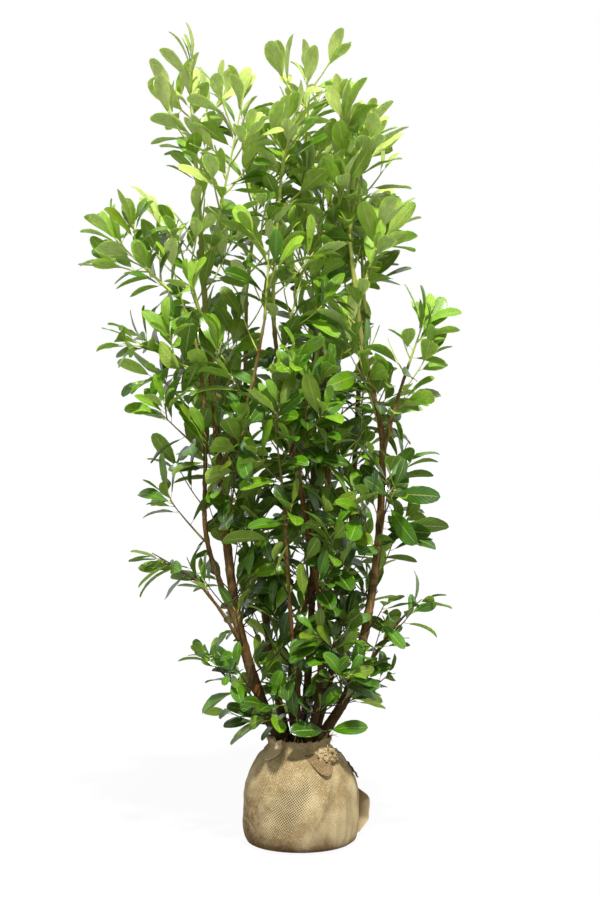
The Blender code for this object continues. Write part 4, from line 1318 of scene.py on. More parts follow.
def leaf_template():
    """Faces of one leaf by side, as corner numbers and map places, and which corners lie on its rim.

    Corners run: root, the rows of the upper face, tip, the inner rows of the underside, the stalk's rings.
    """
    rows = len(LEAF_RUNS) - 2
    columns = len(LEAF_SIDES)
    tip = 1 + rows * columns
    under = tip + 1

    def upper(i, j):
        return 0 if i == 0 else tip if i > rows else 1 + (i - 1) * columns + j

    def below(i, j):
        if i in (0, rows + 1) or j in (0, columns - 1):
            return upper(i, j)
        return under + (i - 1) * (columns - 2) + j - 1

    def map_spot(i, j):
        aside = 0.125 if i in (0, rows + 1) else 0.0
        return LEAF_SIDES[j] * 0.5 + aside, LEAF_RUNS[i]

    quads, triangles = [], []
    for side, corner in ((0, upper), (1, below)):
        for i in range(rows + 1):
            for j in range(columns - 1):
                ring = [(i, j), (i, j + 1), (i + 1, j + 1), (i + 1, j)]
                if i == 0:
                    ring = [(0, j), (1, j + 1), (1, j)]
                elif i == rows:
                    ring = [(i, j), (i, j + 1), (rows + 1, j)]
                if side == 0:
                    ring = ring[::-1]
                kind = triangles if len(ring) == 3 else quads
                kind.append((side, [corner(a, b) for a, b in ring], [map_spot(a, b) for a, b in ring]))
    stalk = under + rows * (columns - 2)
    for i in range(len(STALK_RINGS) - 1):
        low = stalk + i * STALK_SIDES
        high = low + STALK_SIDES
        for k in range(STALK_SIDES):
            after = (k + 1) % STALK_SIDES
            spots = [(-0.3, 0.3), (0.3, 0.3), (0.3, 0.7), (-0.3, 0.7)]
            quads.append((2, [low + k, low + after, high + after, high + k], spots))
    size = stalk + len(STALK_RINGS) * STALK_SIDES
    triangles.append((2, [stalk + 2, stalk + 1, stalk], [(-0.3, 0.3), (0.3, 0.3), (0.0, 0.7)]))
    triangles.append((2, [size - 3, size - 2, size - 1], [(-0.3, 0.3), (0.3, 0.3), (0.0, 0.7)]))
    rim = {upper(i, j) for i in range(rows + 2) for j in (0, columns - 1)}
    return quads, triangles, rim, size


def blade_shapes(leaves, settings, chance):
    """Every blade beside its own midrib, as rows from root to tip.

    Arrays of leaves by rows: along, above and the slope there. By rows and sides: aside and risen.
    """
    count = len(leaves)
    runs = np.array(LEAF_RUNS)
    sides = np.array(LEAF_SIDES)
    reach = settings.blade * np.array([leaf.size for leaf in leaves])
    half = 0.5 * settings.width * reach * chance.uniform(0.90, 1.10, count)
    fullness = chance.uniform(*LEAF_FULLNESS, (count, 1))
    blunt = LEAF_ENDS[0] + (LEAF_ENDS[1] - LEAF_ENDS[0]) * runs[None]
    outline = np.abs(np.sin(np.pi * runs[None] ** fullness)) ** blunt
    outline[:, (0, -1)] = 0.0
    # the midrib bends down, most of all at the tip
    bend = np.array([leaf.bend for leaf in leaves])[:, None]
    slope = -bend * (runs[None] - 0.25) * 1.5
    slope[:, -3:] += chance.uniform(-0.5, 0.1, (count, 1)) * np.array([0.2, 0.6, 1.0])
    steps = np.diff(runs)[None] * reach[:, None]
    middle = 0.5 * (slope[:, 1:] + slope[:, :-1])
    x = np.concatenate([np.zeros((count, 1)), np.cumsum(steps * np.cos(middle), 1)], 1)
    z = np.concatenate([np.zeros((count, 1)), np.cumsum(steps * np.sin(middle), 1)], 1)
    x += settings.petiole
    # the sides fold up, the rim is wavy, and the blade twists along its length
    wide = half[:, None, None] * outline[:, :, None] * sides[None, None]
    fold = np.tan(np.radians(chance.uniform(8.0, 30.0, (count, 1, 1))))
    rise = fold * np.abs(wide) * (1.0 - 0.5 * sides[None, None] ** 2)
    phase = chance.uniform(0.0, 2.0 * np.pi, (count, 1, 1))
    wave = chance.uniform(0.02, 0.13, (count, 1, 1)) * half[:, None, None] * outline[:, :, None]
    ripple = np.sin(9.0 * runs[None, :, None] + phase + 1.6 * np.sign(sides))
    rise = rise + wave * sides[None, None] ** 2 * ripple
    twist = chance.normal(0.0, 0.30, (count, 1, 1)) * (runs[None, :, None] - 0.2)
    aside = wide * np.cos(twist) - rise * np.sin(twist)
    rise = wide * np.sin(twist) + rise * np.cos(twist)
    return x, z, slope, aside, rise


def stalk_rings(spread, count, petiole):
    """The rings of every leaf's stalk, from inside the twig to under the blade."""
    angles = 2.0 * np.pi * np.arange(STALK_SIDES) / STALK_SIDES
    for share, thick in STALK_RINGS:
        x = np.full((count, STALK_SIDES), petiole * share)
        y = STALK_RADIUS * thick * np.broadcast_to(np.cos(angles), (count, STALK_SIDES))
        z = np.broadcast_to(np.sin(angles), (count, STALK_SIDES)) - STALK_SAG * share
        z = STALK_RADIUS * thick * z
        yield spread(x[:, None], y[:, None], z[:, None])[:, 0]


def leaf_corners(leaves, settings, chance):
    """The corner places of every leaf: an array of leaves by corners by three."""
    count = len(leaves)
    x, z, slope, y, rise = blade_shapes(leaves, settings, chance)
    heading = np.array([tuple(leaf.heading) for leaf in leaves])
    facing = np.array([tuple(leaf.facing) for leaf in leaves])
    across = np.cross(heading, facing)
    across /= np.linalg.norm(across, axis=1, keepdims=True)
    up = np.cross(across, heading)
    root = np.array([tuple(leaf.place) for leaf in leaves])

    def spread(ahead, aside, upward):
        return (root[:, None, None] + ahead[..., None] * heading[:, None, None]
                + aside[..., None] * across[:, None, None] + upward[..., None] * up[:, None, None])

    tilt_x = -np.sin(slope)[:, :, None]
    tilt_z = np.cos(slope)[:, :, None]
    top = spread(x[:, :, None] + rise * tilt_x, y, z[:, :, None] + rise * tilt_z)
    depth = np.array([0.0, 1.0, 2.0, 1.0, 0.0]) * settings.thickness
    keel = 1.0 + np.array([0.0, 0.0, 1.0, 0.0, 0.0]) * (1.0 - np.array(LEAF_RUNS)[:, None])
    low = rise - depth[None, None] * keel[None]
    bottom = spread(x[:, :, None] + low * tilt_x, y, z[:, :, None] + low * tilt_z)
    parts = [top[:, 0, 2:3], top[:, 1:-1].reshape(count, -1, 3), top[:, -1, 2:3],
             bottom[:, 1:-1, 1:-1].reshape(count, -1, 3), *stalk_rings(spread, count, settings.petiole)]
    return np.concatenate(parts, 1)


def leaf_piece(name, leaves, settings):
    """All the leaves of one zone as one mesh, each closed, with a finish for each face of it."""
    chance = np.random.default_rng(sum(name.encode()))
    quads, triangles, rim, size = leaf_template()
    verts = leaf_corners(leaves, settings, chance)
    first = (np.arange(len(leaves)) * size)[:, None]
    upper = np.array([LEAF_FINISHES.index(leaf.tint) for leaf in leaves])
    under = np.array([LEAF_FINISHES.index(UNDERSIDE_OF[leaf.tint]) for leaf in leaves])
    stalk = np.full(len(leaves), LEAF_FINISHES.index(STALK))
    finishes = (upper, under, stalk)
    faces, indices, maps = [], [], []
    for kind in (quads, triangles):
        corners = np.array([ring for _, ring, _ in kind])
        faces.append((first[:, :, None] + corners[None]).reshape(-1, corners.shape[1]))
        finish = np.stack([finishes[side] for side, _, _ in kind], 1)
        indices.append(finish.ravel())
        spots = np.array([spot for _, _, spot in kind])
        spots = spots * (0.92, 0.92) + (0.5, 0.04)
        cell = np.stack([finish % ATLAS, finish // ATLAS], -1)[:, :, None]
        maps.append(((spots[None] + cell) / ATLAS).reshape(-1, 2))

    def on_rim(ends):
        local = ends % size
        return np.isin(local[:, 0], list(rim)) & np.isin(local[:, 1], list(rim))

    indices = np.concatenate(indices)
    maps = np.concatenate(maps)
    return mesh_piece(name, verts.reshape(-1, 3), faces, indices, maps, on_rim)


# -------- root ball

BALL_RADIUS = 0.162
BALL_FLAT_RADIUS = 0.122
BALL_MIDDLE = 0.118
NECK_RADIUS = 0.078
NECK_RIM = 0.290
NECK_FLARE = 0.007
ROLL_HEIGHT = 0.267
UNDERSIDE_RADII = (0.02, 0.05, 0.08, 0.105)
LUMP = 0.0036
SAG = 0.0050
CLOTH_SIDES = 116
CLOTH_SPACING = 0.0066
WARP_TURNS = 152
WEFT_TURNS = 114
PLEATS = 34
PLEAT_WIDTHS = (2.2, 4.6)
PLEAT_DEPTHS = (-1.0, 0.9)
PLEAT_REACHES = (0.020, 0.095)
PLEAT_LEAN = 1.6
KNOT_ANGLE = math.radians(-45.0)
KNOT_HEIGHT = 0.252
KNOT_RISE = 51.5
KNOT_STAND = 0.0050
KNOT_SIZE = (0.039, 0.025, 0.017)
# the ruffled end that comes out of the knot
RUFFLE_PLACE = (0.014, 0.004, 0.009)
RUFFLE_DEPTH = 0.022
RUFFLE_RADII = (0.0045, 0.0185)
RUFFLE_CLOTH = 0.0016
FLAP_HEIGHTS = (0.014, 0.150)
FLAP_ROOT = math.radians(60.0)
FLAP_END = math.radians(14.0)
FLAP_LIFT = 0.031
FLAP_CURL = 3.0
# how far the cloth may sink: where soil fills it, and above the soil
DIP = 0.0026
NECK_DIP = 0.012
SHEET_SHARE = 0.6
FRINGE = 110
TUFT = 14
THREAD_RADIUS = 0.0006
SLACK_RADIUS = 0.0009
SLACK_POINTS = 25
# slack strands round the neck: a height, and the angles they run between
SLACK_STRANDS = ((0.264, -150.0, -55.0), (0.270, -120.0, -20.0), (0.259, -100.0, 10.0),
                 (0.268, 20.0, 150.0), (0.262, 100.0, 230.0))
SOIL_SIDES = 48
SOIL_RINGS = 14
SOIL_RING_WIDTH = 0.0051
CRUMBS = 90
CRUMB_SIZES = (0.0014, 0.0042)
DRY_LEAF_ANGLE = -12.0
DRY_LEAF_HEIGHTS = (0.232, 0.188)
DRY_LEAF_HALF_WIDTH = 0.0085
DRY_LEAF_THICKNESS = 0.0006
DRY_STALK_RADIUS = 0.0010


class Drag(NamedTuple):
    """A soft ridge (or a hollow) pulled into the cloth between two places: angle in degrees, height."""

    start: tuple
    end: tuple
    depth: float
    width: float


class Lap(NamedTuple):
    """A tongue of cloth that laps over the ball.

    Its middle and half width round the ball, the heights it runs between, how far its end stands off, and
    how pointed that end is.
    """

    angle: float
    width: float
    heights: tuple
    stand: float
    point: float


LEFT_LAP = Lap(math.radians(-146.0), math.radians(19.0), (0.288, 0.244), 0.0062, 0.36)
# the tongue under the knot: a sheet painted dark, standing for the shade there
KNOT_LAP = Lap(math.radians(-67.0), math.radians(17.0), (0.262, 0.210), 0.0085, 0.45)
DRAGS = (
    Drag((-84, 0.262), (-130, 0.110), 0.0048, 0.017),
    Drag((-112, 0.240), (-142, 0.130), -0.0050, 0.018),
    Drag((-72, 0.235), (-100, 0.050), -0.0028, 0.011),
    Drag((-50, 0.235), (-84, 0.020), 0.0034, 0.012),
    Drag((-46, 0.230), (-62, 0.030), -0.0030, 0.010),
    Drag((-40, 0.235), (-40, 0.040), 0.0030, 0.011),
    Drag((-34, 0.240), (-20, 0.060), -0.0034, 0.009),
    Drag((-20, 0.225), (-13, 0.020), 0.0040, 0.011),
    Drag((-150, 0.250), (-166, 0.060), 0.0032, 0.013),
    Drag((35, 0.250), (60, 0.060), 0.0040, 0.014),
    Drag((80, 0.240), (95, 0.040), -0.0035, 0.012),
    Drag((130, 0.255), (110, 0.070), 0.0042, 0.015),
    Drag((165, 0.240), (175, 0.050), -0.0032, 0.012),
)


class Pleat(NamedTuple):
    """A fold that runs down from the neck: its angle, half width and depth, its length and its lean."""

    angle: float
    width: float
    depth: float
    reach: float
    lean: float


@functools.cache
def ball_profile():
    """(radius, height) of the cloth from the middle of its underside to the rim of its neck."""
    low = BALL_FLAT_RADIUS
    wide = BALL_RADIUS
    rising = ((low, 0.0), (low + 0.62 * (wide - low), 0.008), (0.965 * wide, 0.028), (wide, 0.066),
              (wide, 0.112), (0.965 * wide, 0.160), (0.885 * wide, 0.203), (0.745 * wide, 0.240),
              (0.590 * wide, 0.261), (NECK_RADIUS + 0.003, BALL_TOP + 0.002),
              (NECK_RADIUS + NECK_FLARE, NECK_RIM))
    smooth = spline([Vector((*spot, 0.0)) for spot in rising], CLOTH_SPACING)
    return [Vector((radius, 0.0, 0.0)) for radius in UNDERSIDE_RADII] + smooth


def make_pleats():
    """The folds round the neck, unevenly spaced."""
    chance = random.Random("pleats")
    pleats = []
    for k in range(PLEATS):
        angle = 2.0 * math.pi * (k + chance.uniform(-0.35, 0.35)) / PLEATS
        width = math.radians(chance.uniform(*PLEAT_WIDTHS))
        pleats.append(Pleat(angle, width, chance.uniform(*PLEAT_DEPTHS), chance.uniform(*PLEAT_REACHES),
                            chance.uniform(-PLEAT_LEAN, PLEAT_LEAN)))
    return pleats


class Cloth:
    """The shape of the burlap: where a point of the plain turned shell goes on the gathered cloth."""

    def __init__(self, settings):
        self.fold = settings.fold
        self.pleats = make_pleats()
        self.drags = [(drag, [Vector((math.radians(angle) * BALL_RADIUS, height, 0.0))
                              for angle, height in (drag.start, drag.end)]) for drag in DRAGS]

    def place(self, angle, radius, height, stand=0.0):
        """Where a point goes, given its place on the plain shell and how far it stands off the cloth."""
        side = math.sin(math.pi * min(1.0, max(0.0, height / BALL_TOP)))
        wave = math.sin(3.0 * angle + 0.6) + 0.6 * math.sin(5.0 * angle + 14.0 * height)
        around = Vector((math.cos(angle), math.sin(angle), height * 6.0))
        bulge = SAG * side * noise.noise(around * 2.6) + 0.35 * SAG * side * noise.noise(around * 7.0)
        bulge += self.creases(angle, height) + self.gathers(angle, height)
        # a soft roll round the neck, with a groove under it
        roll = math.exp(-((height - ROLL_HEIGHT) / 0.0045) ** 2)
        roll -= 0.8 * math.exp(-((height - ROLL_HEIGHT + 0.011) / 0.0040) ** 2)
        bulge += 0.0032 * roll * (0.6 + noise.noise(around * 3.4))
        if bulge < 0.0:
            deepest = between((DIP, NECK_DIP), rise_between(SOIL_TOP, SOIL_TOP + 0.012, height))
            bulge = -deepest * math.tanh(-bulge / deepest)
        bulge += LUMP * side * wave
        # the rim is uneven, and higher at both sides
        near_neck = rise_between(0.245, NECK_RIM, height)
        rim = near_neck * near_neck * (0.0075 * math.cos(angle) ** 2 + 0.0065 * noise.noise(around * 4.1)
                                       + 0.003 * noise.noise(around * 11.0))
        reach = radius + bulge + stand
        return Vector((reach * math.cos(angle), reach * math.sin(angle), height + rim))

    def gathers(self, angle, height):
        """Pleats drawn together at the neck."""
        total = 0.0
        drop = NECK_RIM - height
        for pleat in self.pleats:
            fade = max(0.0, 1.0 - drop / (pleat.reach + 0.022))
            if fade:
                away = angle - pleat.angle - pleat.lean * drop
                away = (away + math.pi) % (2.0 * math.pi) - math.pi
                width = pleat.width * (1.0 + drop * 14.0)
                total += pleat.depth * fade * math.exp(-(away / width) ** 2)
        return self.fold * total

    def creases(self, angle, height):
        """Soft drag lines that fan out from the knot, and small tucks along the bottom."""
        across = ((angle - KNOT_ANGLE + math.pi) % (2.0 * math.pi) - math.pi) * BALL_RADIUS
        drop = (height - KNOT_HEIGHT) * 1.3
        far = math.hypot(across, drop)
        fan = math.cos(11.0 * math.atan2(across, -drop) + 5.0 * far / BALL_RADIUS)
        drags = 0.0017 * fan * math.exp(-far / 0.085) * rise_between(0.015, 0.040, far)
        low = rise_between(0.002, 0.02, height) * (1.0 - rise_between(0.03, 0.085, height))
        tuck = noise.noise(Vector((math.cos(angle) * 9.0, math.sin(angle) * 9.0, height * 7.0)))
        spot = Vector((angle * BALL_RADIUS, height, 0.0))
        for drag, ends in self.drags:
            drags += drag.depth * math.exp(-(distance_to(spot, ends) / drag.width) ** 2)
        return drags + 0.0045 * low * tuck


def radius_at(height):
    """Radius of the plain turned shell at a height above its underside."""
    profile = ball_profile()
    for below, above in zip(profile, profile[1:]):
        if below.y <= height <= above.y and above.y > below.y:
            return between((below.x, above.x), (height - below.y) / (above.y - below.y))
    return profile[-1].x


def round_disc(sides, radius, height=0.0):
    """A flat disc of one face."""
    deselect()
    bpy.ops.mesh.primitive_circle_add(vertices=sides, radius=radius, fill_type="NGON",
                                      location=(0.0, 0.0, height))
    bpy.ops.object.transform_apply()
    return bpy.context.active_object


def turned_shell(name, profile, sides):
    """A disc extruded in edit mode from ring to ring of a profile, and left open at the top."""
    thing = round_disc(sides, profile[0].x)
    thing.name = name
    edit_all()
    for before, after in zip(profile, profile[1:]):
        bpy.ops.mesh.extrude_region_move(TRANSFORM_OT_translate={"value": (0.0, 0.0, after.y - before.y)})
        share = after.x / before.x
        bpy.ops.transform.resize(value=(share, share, 1.0), center_override=(0.0, 0.0, 0.0))
    bpy.ops.mesh.select_all(action="SELECT")
    bpy.ops.mesh.normals_make_consistent(inside=False)
    bpy.ops.mesh.select_all(action="DESELECT")
    bpy.ops.mesh.select_mode(type="FACE")
    bpy.ops.object.mode_set(mode="OBJECT")
    lid = max(thing.data.polygons, key=lambda face: face.center.z)
    lid.select = True
    bpy.ops.object.mode_set(mode="EDIT")
    bpy.ops.mesh.delete(type="ONLY_FACE")
    bpy.ops.mesh.select_mode(type="VERT")
    bpy.ops.object.mode_set(mode="OBJECT")
    return thing


def map_weave(thing):
    """Lays the weave's map over a cloth: one unit a thread, slanting round the ball without a seam."""
    mesh = thing.data
    layer = mesh.uv_layers.new(name=WEAVE_MAP)
    spots = np.empty(len(mesh.vertices) * 3)
    mesh.vertices.foreach_get("co", spots)
    spots = spots.reshape(-1, 3)
    corner = np.empty(len(mesh.loops), np.int32)
    mesh.loops.foreach_get("vertex_index", corner)
    totals = np.empty(len(mesh.polygons), np.int32)
    mesh.polygons.foreach_get("loop_total", totals)
    first = np.repeat(np.cumsum(totals) - totals, totals)
    turn = np.arctan2(spots[:, 1], spots[:, 0])[corner]
    start = turn[first]
    turn = start + (turn - start + np.pi) % (2.0 * np.pi) - np.pi
    rise = np.arctan2(np.hypot(spots[:, 0], spots[:, 1]), BALL_MIDDLE - spots[:, 2])[corner]
    warp = (WARP_TURNS * turn + WEFT_TURNS * rise) / (2.0 * np.pi)
    weft = (-WEFT_TURNS * turn + WARP_TURNS * rise) / (2.0 * np.pi)
    layer.uv.foreach_set("vector", np.stack([warp, weft], 1).astype(np.float32).ravel())


def finish_sheet(thing, settings):
    """Gives a loose sheet of cloth its thickness, its weave's map and smooth faces."""
    apply_modifier(thing, "SOLIDIFY", thickness=SHEET_SHARE * settings.thickness, offset=0.0)
    apply_modifier(thing, "SUBSURF", levels=1, render_levels=1)
    map_weave(thing)
    thing.data.shade_smooth()
    return thing


def cloth_piece(settings, cloth):
    """The burlap round the ball, gathered at its neck."""
    thing = turned_shell("burlap_cloth", ball_profile(), CLOTH_SIDES)
    apply_modifier(thing, "SUBSURF", levels=1, render_levels=1)
    for vert in thing.data.vertices:
        x, y, z = vert.co
        vert.co = cloth.place(math.atan2(y, x), math.hypot(x, y), z)
    apply_modifier(thing, "SOLIDIFY", thickness=settings.thickness, offset=-1.0, use_even_offset=True)
    map_weave(thing)
    thing.data.shade_smooth()
    return thing


def flap_piece(settings, cloth):
    """The loose corner of the cloth that stands off the right side of the ball."""
    thing = new_grid("burlap_corner", 26, 26)
    for vert in thing.data.vertices:
        share = vert.co.x + 0.5
        up = vert.co.y + 0.5
        flare = 0.12 + 0.88 * math.sqrt(min(1.0, 1.25 * share)) + 0.06 * math.sin(9.0 * share)
        level = 0.40 + (up - 0.40) * flare
        height = between(FLAP_HEIGHTS, level * (1.0 - 0.16 * share) + 0.05 * share)
        angle = between((FLAP_ROOT, FLAP_END), share)
        bulge = min(1.05, 0.42 + 2.0 * up) - 0.85 * up ** 8 + 0.05 * math.sin(9.0 * up + 2.0)
        stand = FLAP_LIFT * share ** FLAP_CURL * bulge + 0.0035 * min(1.0, 4.0 * share) + 0.0015
        stand += 0.0020 * share * math.sin(11.0 * up + 5.0 * share)
        vert.co = cloth.place(angle, radius_at(height), height, stand)
    return finish_sheet(thing, settings)


def knot_roll():
    """The pleated roll of the knot, lying flat round its own middle."""
    deselect()
    bpy.ops.mesh.primitive_uv_sphere_add(segments=96, ring_count=48, radius=1.0)
    thing = bpy.context.active_object
    thing.name = "burlap_bunch"
    for vert in thing.data.vertices:
        spin = math.atan2(vert.co.y, vert.co.x)
        level = math.hypot(vert.co.x, vert.co.y)
        warp = 2.2 * noise.noise(vert.co * 1.7) + 1.6 * level
        crease = abs(math.sin(3.5 * spin + warp + 2.0 * vert.co.z)) ** 0.6
        scrunch = 0.70 + 0.34 * crease + 0.16 * noise.noise(vert.co * 3.1)
        vert.co = Vector(side * size for side, size in zip(vert.co, KNOT_SIZE)) * scrunch
    return thing


def ruffled_end():
    """The end of the cloth that opens out of the roll like a ruffle."""
    x, y, z = RUFFLE_PLACE
    deselect()
    bpy.ops.mesh.primitive_cone_add(vertices=60, radius1=RUFFLE_RADII[0], radius2=RUFFLE_RADII[1],
                                    depth=RUFFLE_DEPTH, end_fill_type="NOTHING", location=RUFFLE_PLACE)
    thing = bpy.context.active_object
    bpy.ops.object.transform_apply()
    edit_all()
    bpy.ops.mesh.subdivide(number_cuts=5)
    bpy.ops.object.mode_set(mode="OBJECT")
    for vert in thing.data.vertices:
        spin = math.atan2(vert.co.y - y, vert.co.x - x)
        share = rise_between(z - 0.5 * RUFFLE_DEPTH, z + 0.5 * RUFFLE_DEPTH, vert.co.z)
        ruffle = 0.0045 * share * math.sin(7.0 * spin) + 0.0018 * share * math.sin(17.0 * spin + 1.3)
        vert.co.z += ruffle - 0.35 * share * 0.0175 * (1.0 + math.cos(spin - 0.7))
        vert.co.x += ruffle * math.cos(spin) * 0.8
        vert.co.y += ruffle * math.sin(spin) * 0.8
    apply_modifier(thing, "SOLIDIFY", thickness=RUFFLE_CLOTH, offset=0.0)
    return thing


def knot_piece(cloth):
    """The bunched end of the cloth: a pleated roll pressed to the ball, and a ruffled end through it."""
    seat = cloth.place(KNOT_ANGLE, radius_at(KNOT_HEIGHT), KNOT_HEIGHT)
    out = heading_of(math.degrees(KNOT_ANGLE), KNOT_RISE)
    turn = out.to_track_quat("Z", "Y").to_matrix().to_4x4()
    thing = knot_roll()
    join(thing, ruffled_end())
    thing.data.transform(Matrix.Translation(seat + out * KNOT_STAND) @ turn)
    map_weave(thing)
    thing.data.shade_smooth()
    return thing


def lap_piece(name, lap, settings, cloth):
    """A tongue of the gathered cloth that laps over a shoulder of the ball."""
    thing = new_grid(name, 22, 18)
    for vert in thing.data.vertices:
        across = 2.0 * vert.co.x
        down = 0.5 - vert.co.y
        round_end = 1.0 - lap.point * across * across
        height = between(lap.heights, down * round_end)
        angle = lap.angle + lap.width * across * (1.0 - 0.25 * down) + 0.12 * down
        stand = 0.0014 + lap.stand * down ** 1.5 * round_end + 0.0016 * math.sin(3.0 * across + 1.0) * down
        vert.co = cloth.place(angle, radius_at(height), height, stand)
    return finish_sheet(thing, settings)


def strand(points, radius=THREAD_RADIUS):
    """A thread of one thickness."""
    return Shoot(points, [radius] * len(points), "", 0.0)


def fringe(cloth, chance):
    """Frayed ends all along the rim of the neck."""
    for k in range(FRINGE):
        angle = 2.0 * math.pi * (k + chance.random()) / FRINGE
        root = cloth.place(angle, NECK_RADIUS + NECK_FLARE, NECK_RIM, -0.0012)
        root.z -= 0.002
        heading = heading_of(math.degrees(angle) + chance.uniform(-70.0, 70.0), chance.uniform(5.0, 80.0))
        reach = chance.uniform(0.005, 0.022)
        yield strand(shoot_path(root, heading, reach, chance.uniform(-1.8, 1.0), 4))


def tuft(cloth, chance):
    """A tuft of frayed ends at the knot."""
    for _ in range(TUFT):
        angle = KNOT_ANGLE + chance.uniform(-0.12, 0.12)
        root = cloth.place(angle, radius_at(KNOT_HEIGHT), KNOT_HEIGHT, 0.012)
        heading = heading_of(chance.uniform(-120.0, 30.0), chance.uniform(-30.0, 70.0))
        reach = chance.uniform(0.010, 0.028)
        yield strand(shoot_path(root, heading, reach, chance.uniform(-2.2, 0.4), 5))


def slack_strands(cloth):
    """Slack strands drawn round the neck."""
    for height, *ends in SLACK_STRANDS:
        points = []
        for k in range(SLACK_POINTS):
            angle = math.radians(between(ends, k / (SLACK_POINTS - 1)))
            level = height + 0.003 * noise.noise(Vector((angle * 2.0, height * 900.0, 0.0)))
            points.append(cloth.place(angle, radius_at(level), level, 0.0010))
        yield strand(points, SLACK_RADIUS)


def threads_piece(cloth):
    """All the single threads of the burlap."""
    chance = random.Random("threads")
    strands = [*fringe(cloth, chance), *tuft(cloth, chance), *slack_strands(cloth)]
    return twig_piece("burlap_threads", strands)


def soil_disc():
    """The lumpy top of the soil, up to the cloth."""
    thing = round_disc(SOIL_SIDES, NECK_RADIUS - 0.0015, SOIL_TOP + 0.0005)
    thing.name = "soil_top"
    edit_all()
    for _ in range(SOIL_RINGS):
        bpy.ops.mesh.inset(thickness=SOIL_RING_WIDTH)
    bpy.ops.object.mode_set(mode="OBJECT")
    for vert in thing.data.vertices:
        edge = rise_between(0.0, 0.012, NECK_RADIUS - math.hypot(vert.co.x, vert.co.y))
        clods = 0.0045 * noise.noise(vert.co * 60.0) + 0.0025 * noise.noise(vert.co * 190.0)
        vert.co.z += edge * (0.0035 + clods)
    return thing


def crumb(chance):
    """A small uneven clod that lies somewhere on the soil."""
    reach = (NECK_RADIUS - 0.007) * math.sqrt(chance.random())
    angle = chance.uniform(0.0, 2.0 * math.pi)
    spot = (reach * math.cos(angle), reach * math.sin(angle), SOIL_TOP + 0.0045)
    deselect()
    bpy.ops.mesh.primitive_ico_sphere_add(subdivisions=2, radius=chance.uniform(*CRUMB_SIZES), location=spot)
    thing = bpy.context.active_object
    bpy.ops.object.transform_apply()
    middle = sum((vert.co for vert in thing.data.vertices), Vector()) / len(thing.data.vertices)
    for vert in thing.data.vertices:
        away = vert.co - middle
        vert.co = middle + away * (1.0 + 0.55 * noise.noise(vert.co * 330.0))
    return thing


def soil_piece():
    """The top of the soil between the stems, with crumbs on it."""
    thing = soil_disc()
    chance = random.Random("crumbs")
    crumbs = [crumb(chance) for _ in range(CRUMBS)]
    join(thing, *crumbs)
    thing.data.shade_smooth()
    return thing


def dry_stalk(cloth):
    """The stalk of the dead leaf, which rises round the shoulder of the ball."""
    points = []
    for k in range(5):
        height = DRY_LEAF_HEIGHTS[0] + 0.006 * k
        angle = math.radians(DRY_LEAF_ANGLE + 3.0 * k)
        points.append(cloth.place(angle, radius_at(height), height, 0.0038))
    return twig_piece("dry_stalk", [strand(points, DRY_STALK_RADIUS)])


def dry_leaf_piece(cloth):
    """A dead leaf on its stalk, caught on the right shoulder of the ball."""
    thing = new_grid("dry_leaf", 14, 8)
    for vert in thing.data.vertices:
        run = vert.co.x + 0.5
        wide = DRY_LEAF_HALF_WIDTH * math.sin(math.pi * min(0.98, 0.04 + run * 0.96)) ** 0.8
        across = 2.0 * vert.co.y
        height = between(DRY_LEAF_HEIGHTS, run)
        angle = math.radians(DRY_LEAF_ANGLE) + across * wide / BALL_RADIUS
        stand = 0.0045 + 0.0055 * run * run + 0.0045 * across * across + 0.0012 * math.sin(19.0 * run)
        vert.co = cloth.place(angle, radius_at(height), height, stand)
    apply_modifier(thing, "SOLIDIFY", thickness=DRY_LEAF_THICKNESS, offset=0.0)
    join(thing, dry_stalk(cloth))
    thing.data.shade_smooth()
    return thing


# -------- stage


def floor_piece(settings):
    """A wide pale floor that shines a little by itself."""
    floor = round_disc(FLOOR_SIDES, FLOOR_RADIUS)
    floor.name = "floor"
    surface = Surface("pale floor", base_color=toned(settings.floor, settings.floor_share),
                      roughness=0.95, specular_ior_level=0.0, emission_strength=1.0)
    seen = surface.node("ShaderNodeLightPath")["Is Camera Ray"]
    bounce = toned(settings.floor, settings.floor_bounce)
    glow = toned(settings.floor, settings.floor_glow)
    surface.feed("Emission Color", surface.mix(seen, bounce, glow))
    floor.data.materials.append(surface.material)
    return floor


def key_light(settings):
    """One sun, high and a little to the right of the front."""
    bpy.ops.object.light_add(type="SUN", location=KEY_PLACE)
    key = bpy.context.active_object
    key.name = "key"
    key.data.energy = settings.sun
    key.data.angle = settings.softness
    towards = towards_key(settings.azimuth, settings.rise)
    key.rotation_euler = towards.to_track_quat("Z", "Y").to_euler()


def fill_light(settings):
    """A world of even light, seen by the camera as plain white."""
    world = bpy.data.worlds.new("studio")
    world.use_nodes = True
    nodes = world.node_tree.nodes
    seen = nodes.new("ShaderNodeLightPath").outputs["Is Camera Ray"]
    strength = nodes.new("ShaderNodeMapRange")
    strength.inputs["To Min"].default_value = settings.sky
    background = nodes["Background"]
    background.inputs["Color"].default_value = (1.0, 1.0, 1.0, 1.0)
    world.node_tree.links.new(seen, strength.inputs["Value"])
    world.node_tree.links.new(strength.outputs["Result"], background.inputs["Strength"])
    return world


def front_camera(settings):
    """The camera, level and straight in front."""
    bpy.ops.object.camera_add(location=(0.0, -settings.distance, settings.height),
                              rotation=(math.pi / 2.0, 0.0, 0.0))
    camera = bpy.context.active_object
    camera.name = "camera"
    camera.data.lens = settings.lens
    return camera


# -------- operators


class LAUREL_OT_bark(bpy.types.Operator):
    """Makes every stem and bough with its bark"""

    bl_idname = "laurel.bark"
    bl_label = "Stems and boughs"

    def execute(self, context):
        settings = context.scene.laurel_wood
        bark = bark_surface(settings)
        for name, line in grow_lines().items():
            dress(bark_tube("bark_" + name, line, settings), [bark], "bark", name)
        return {"FINISHED"}


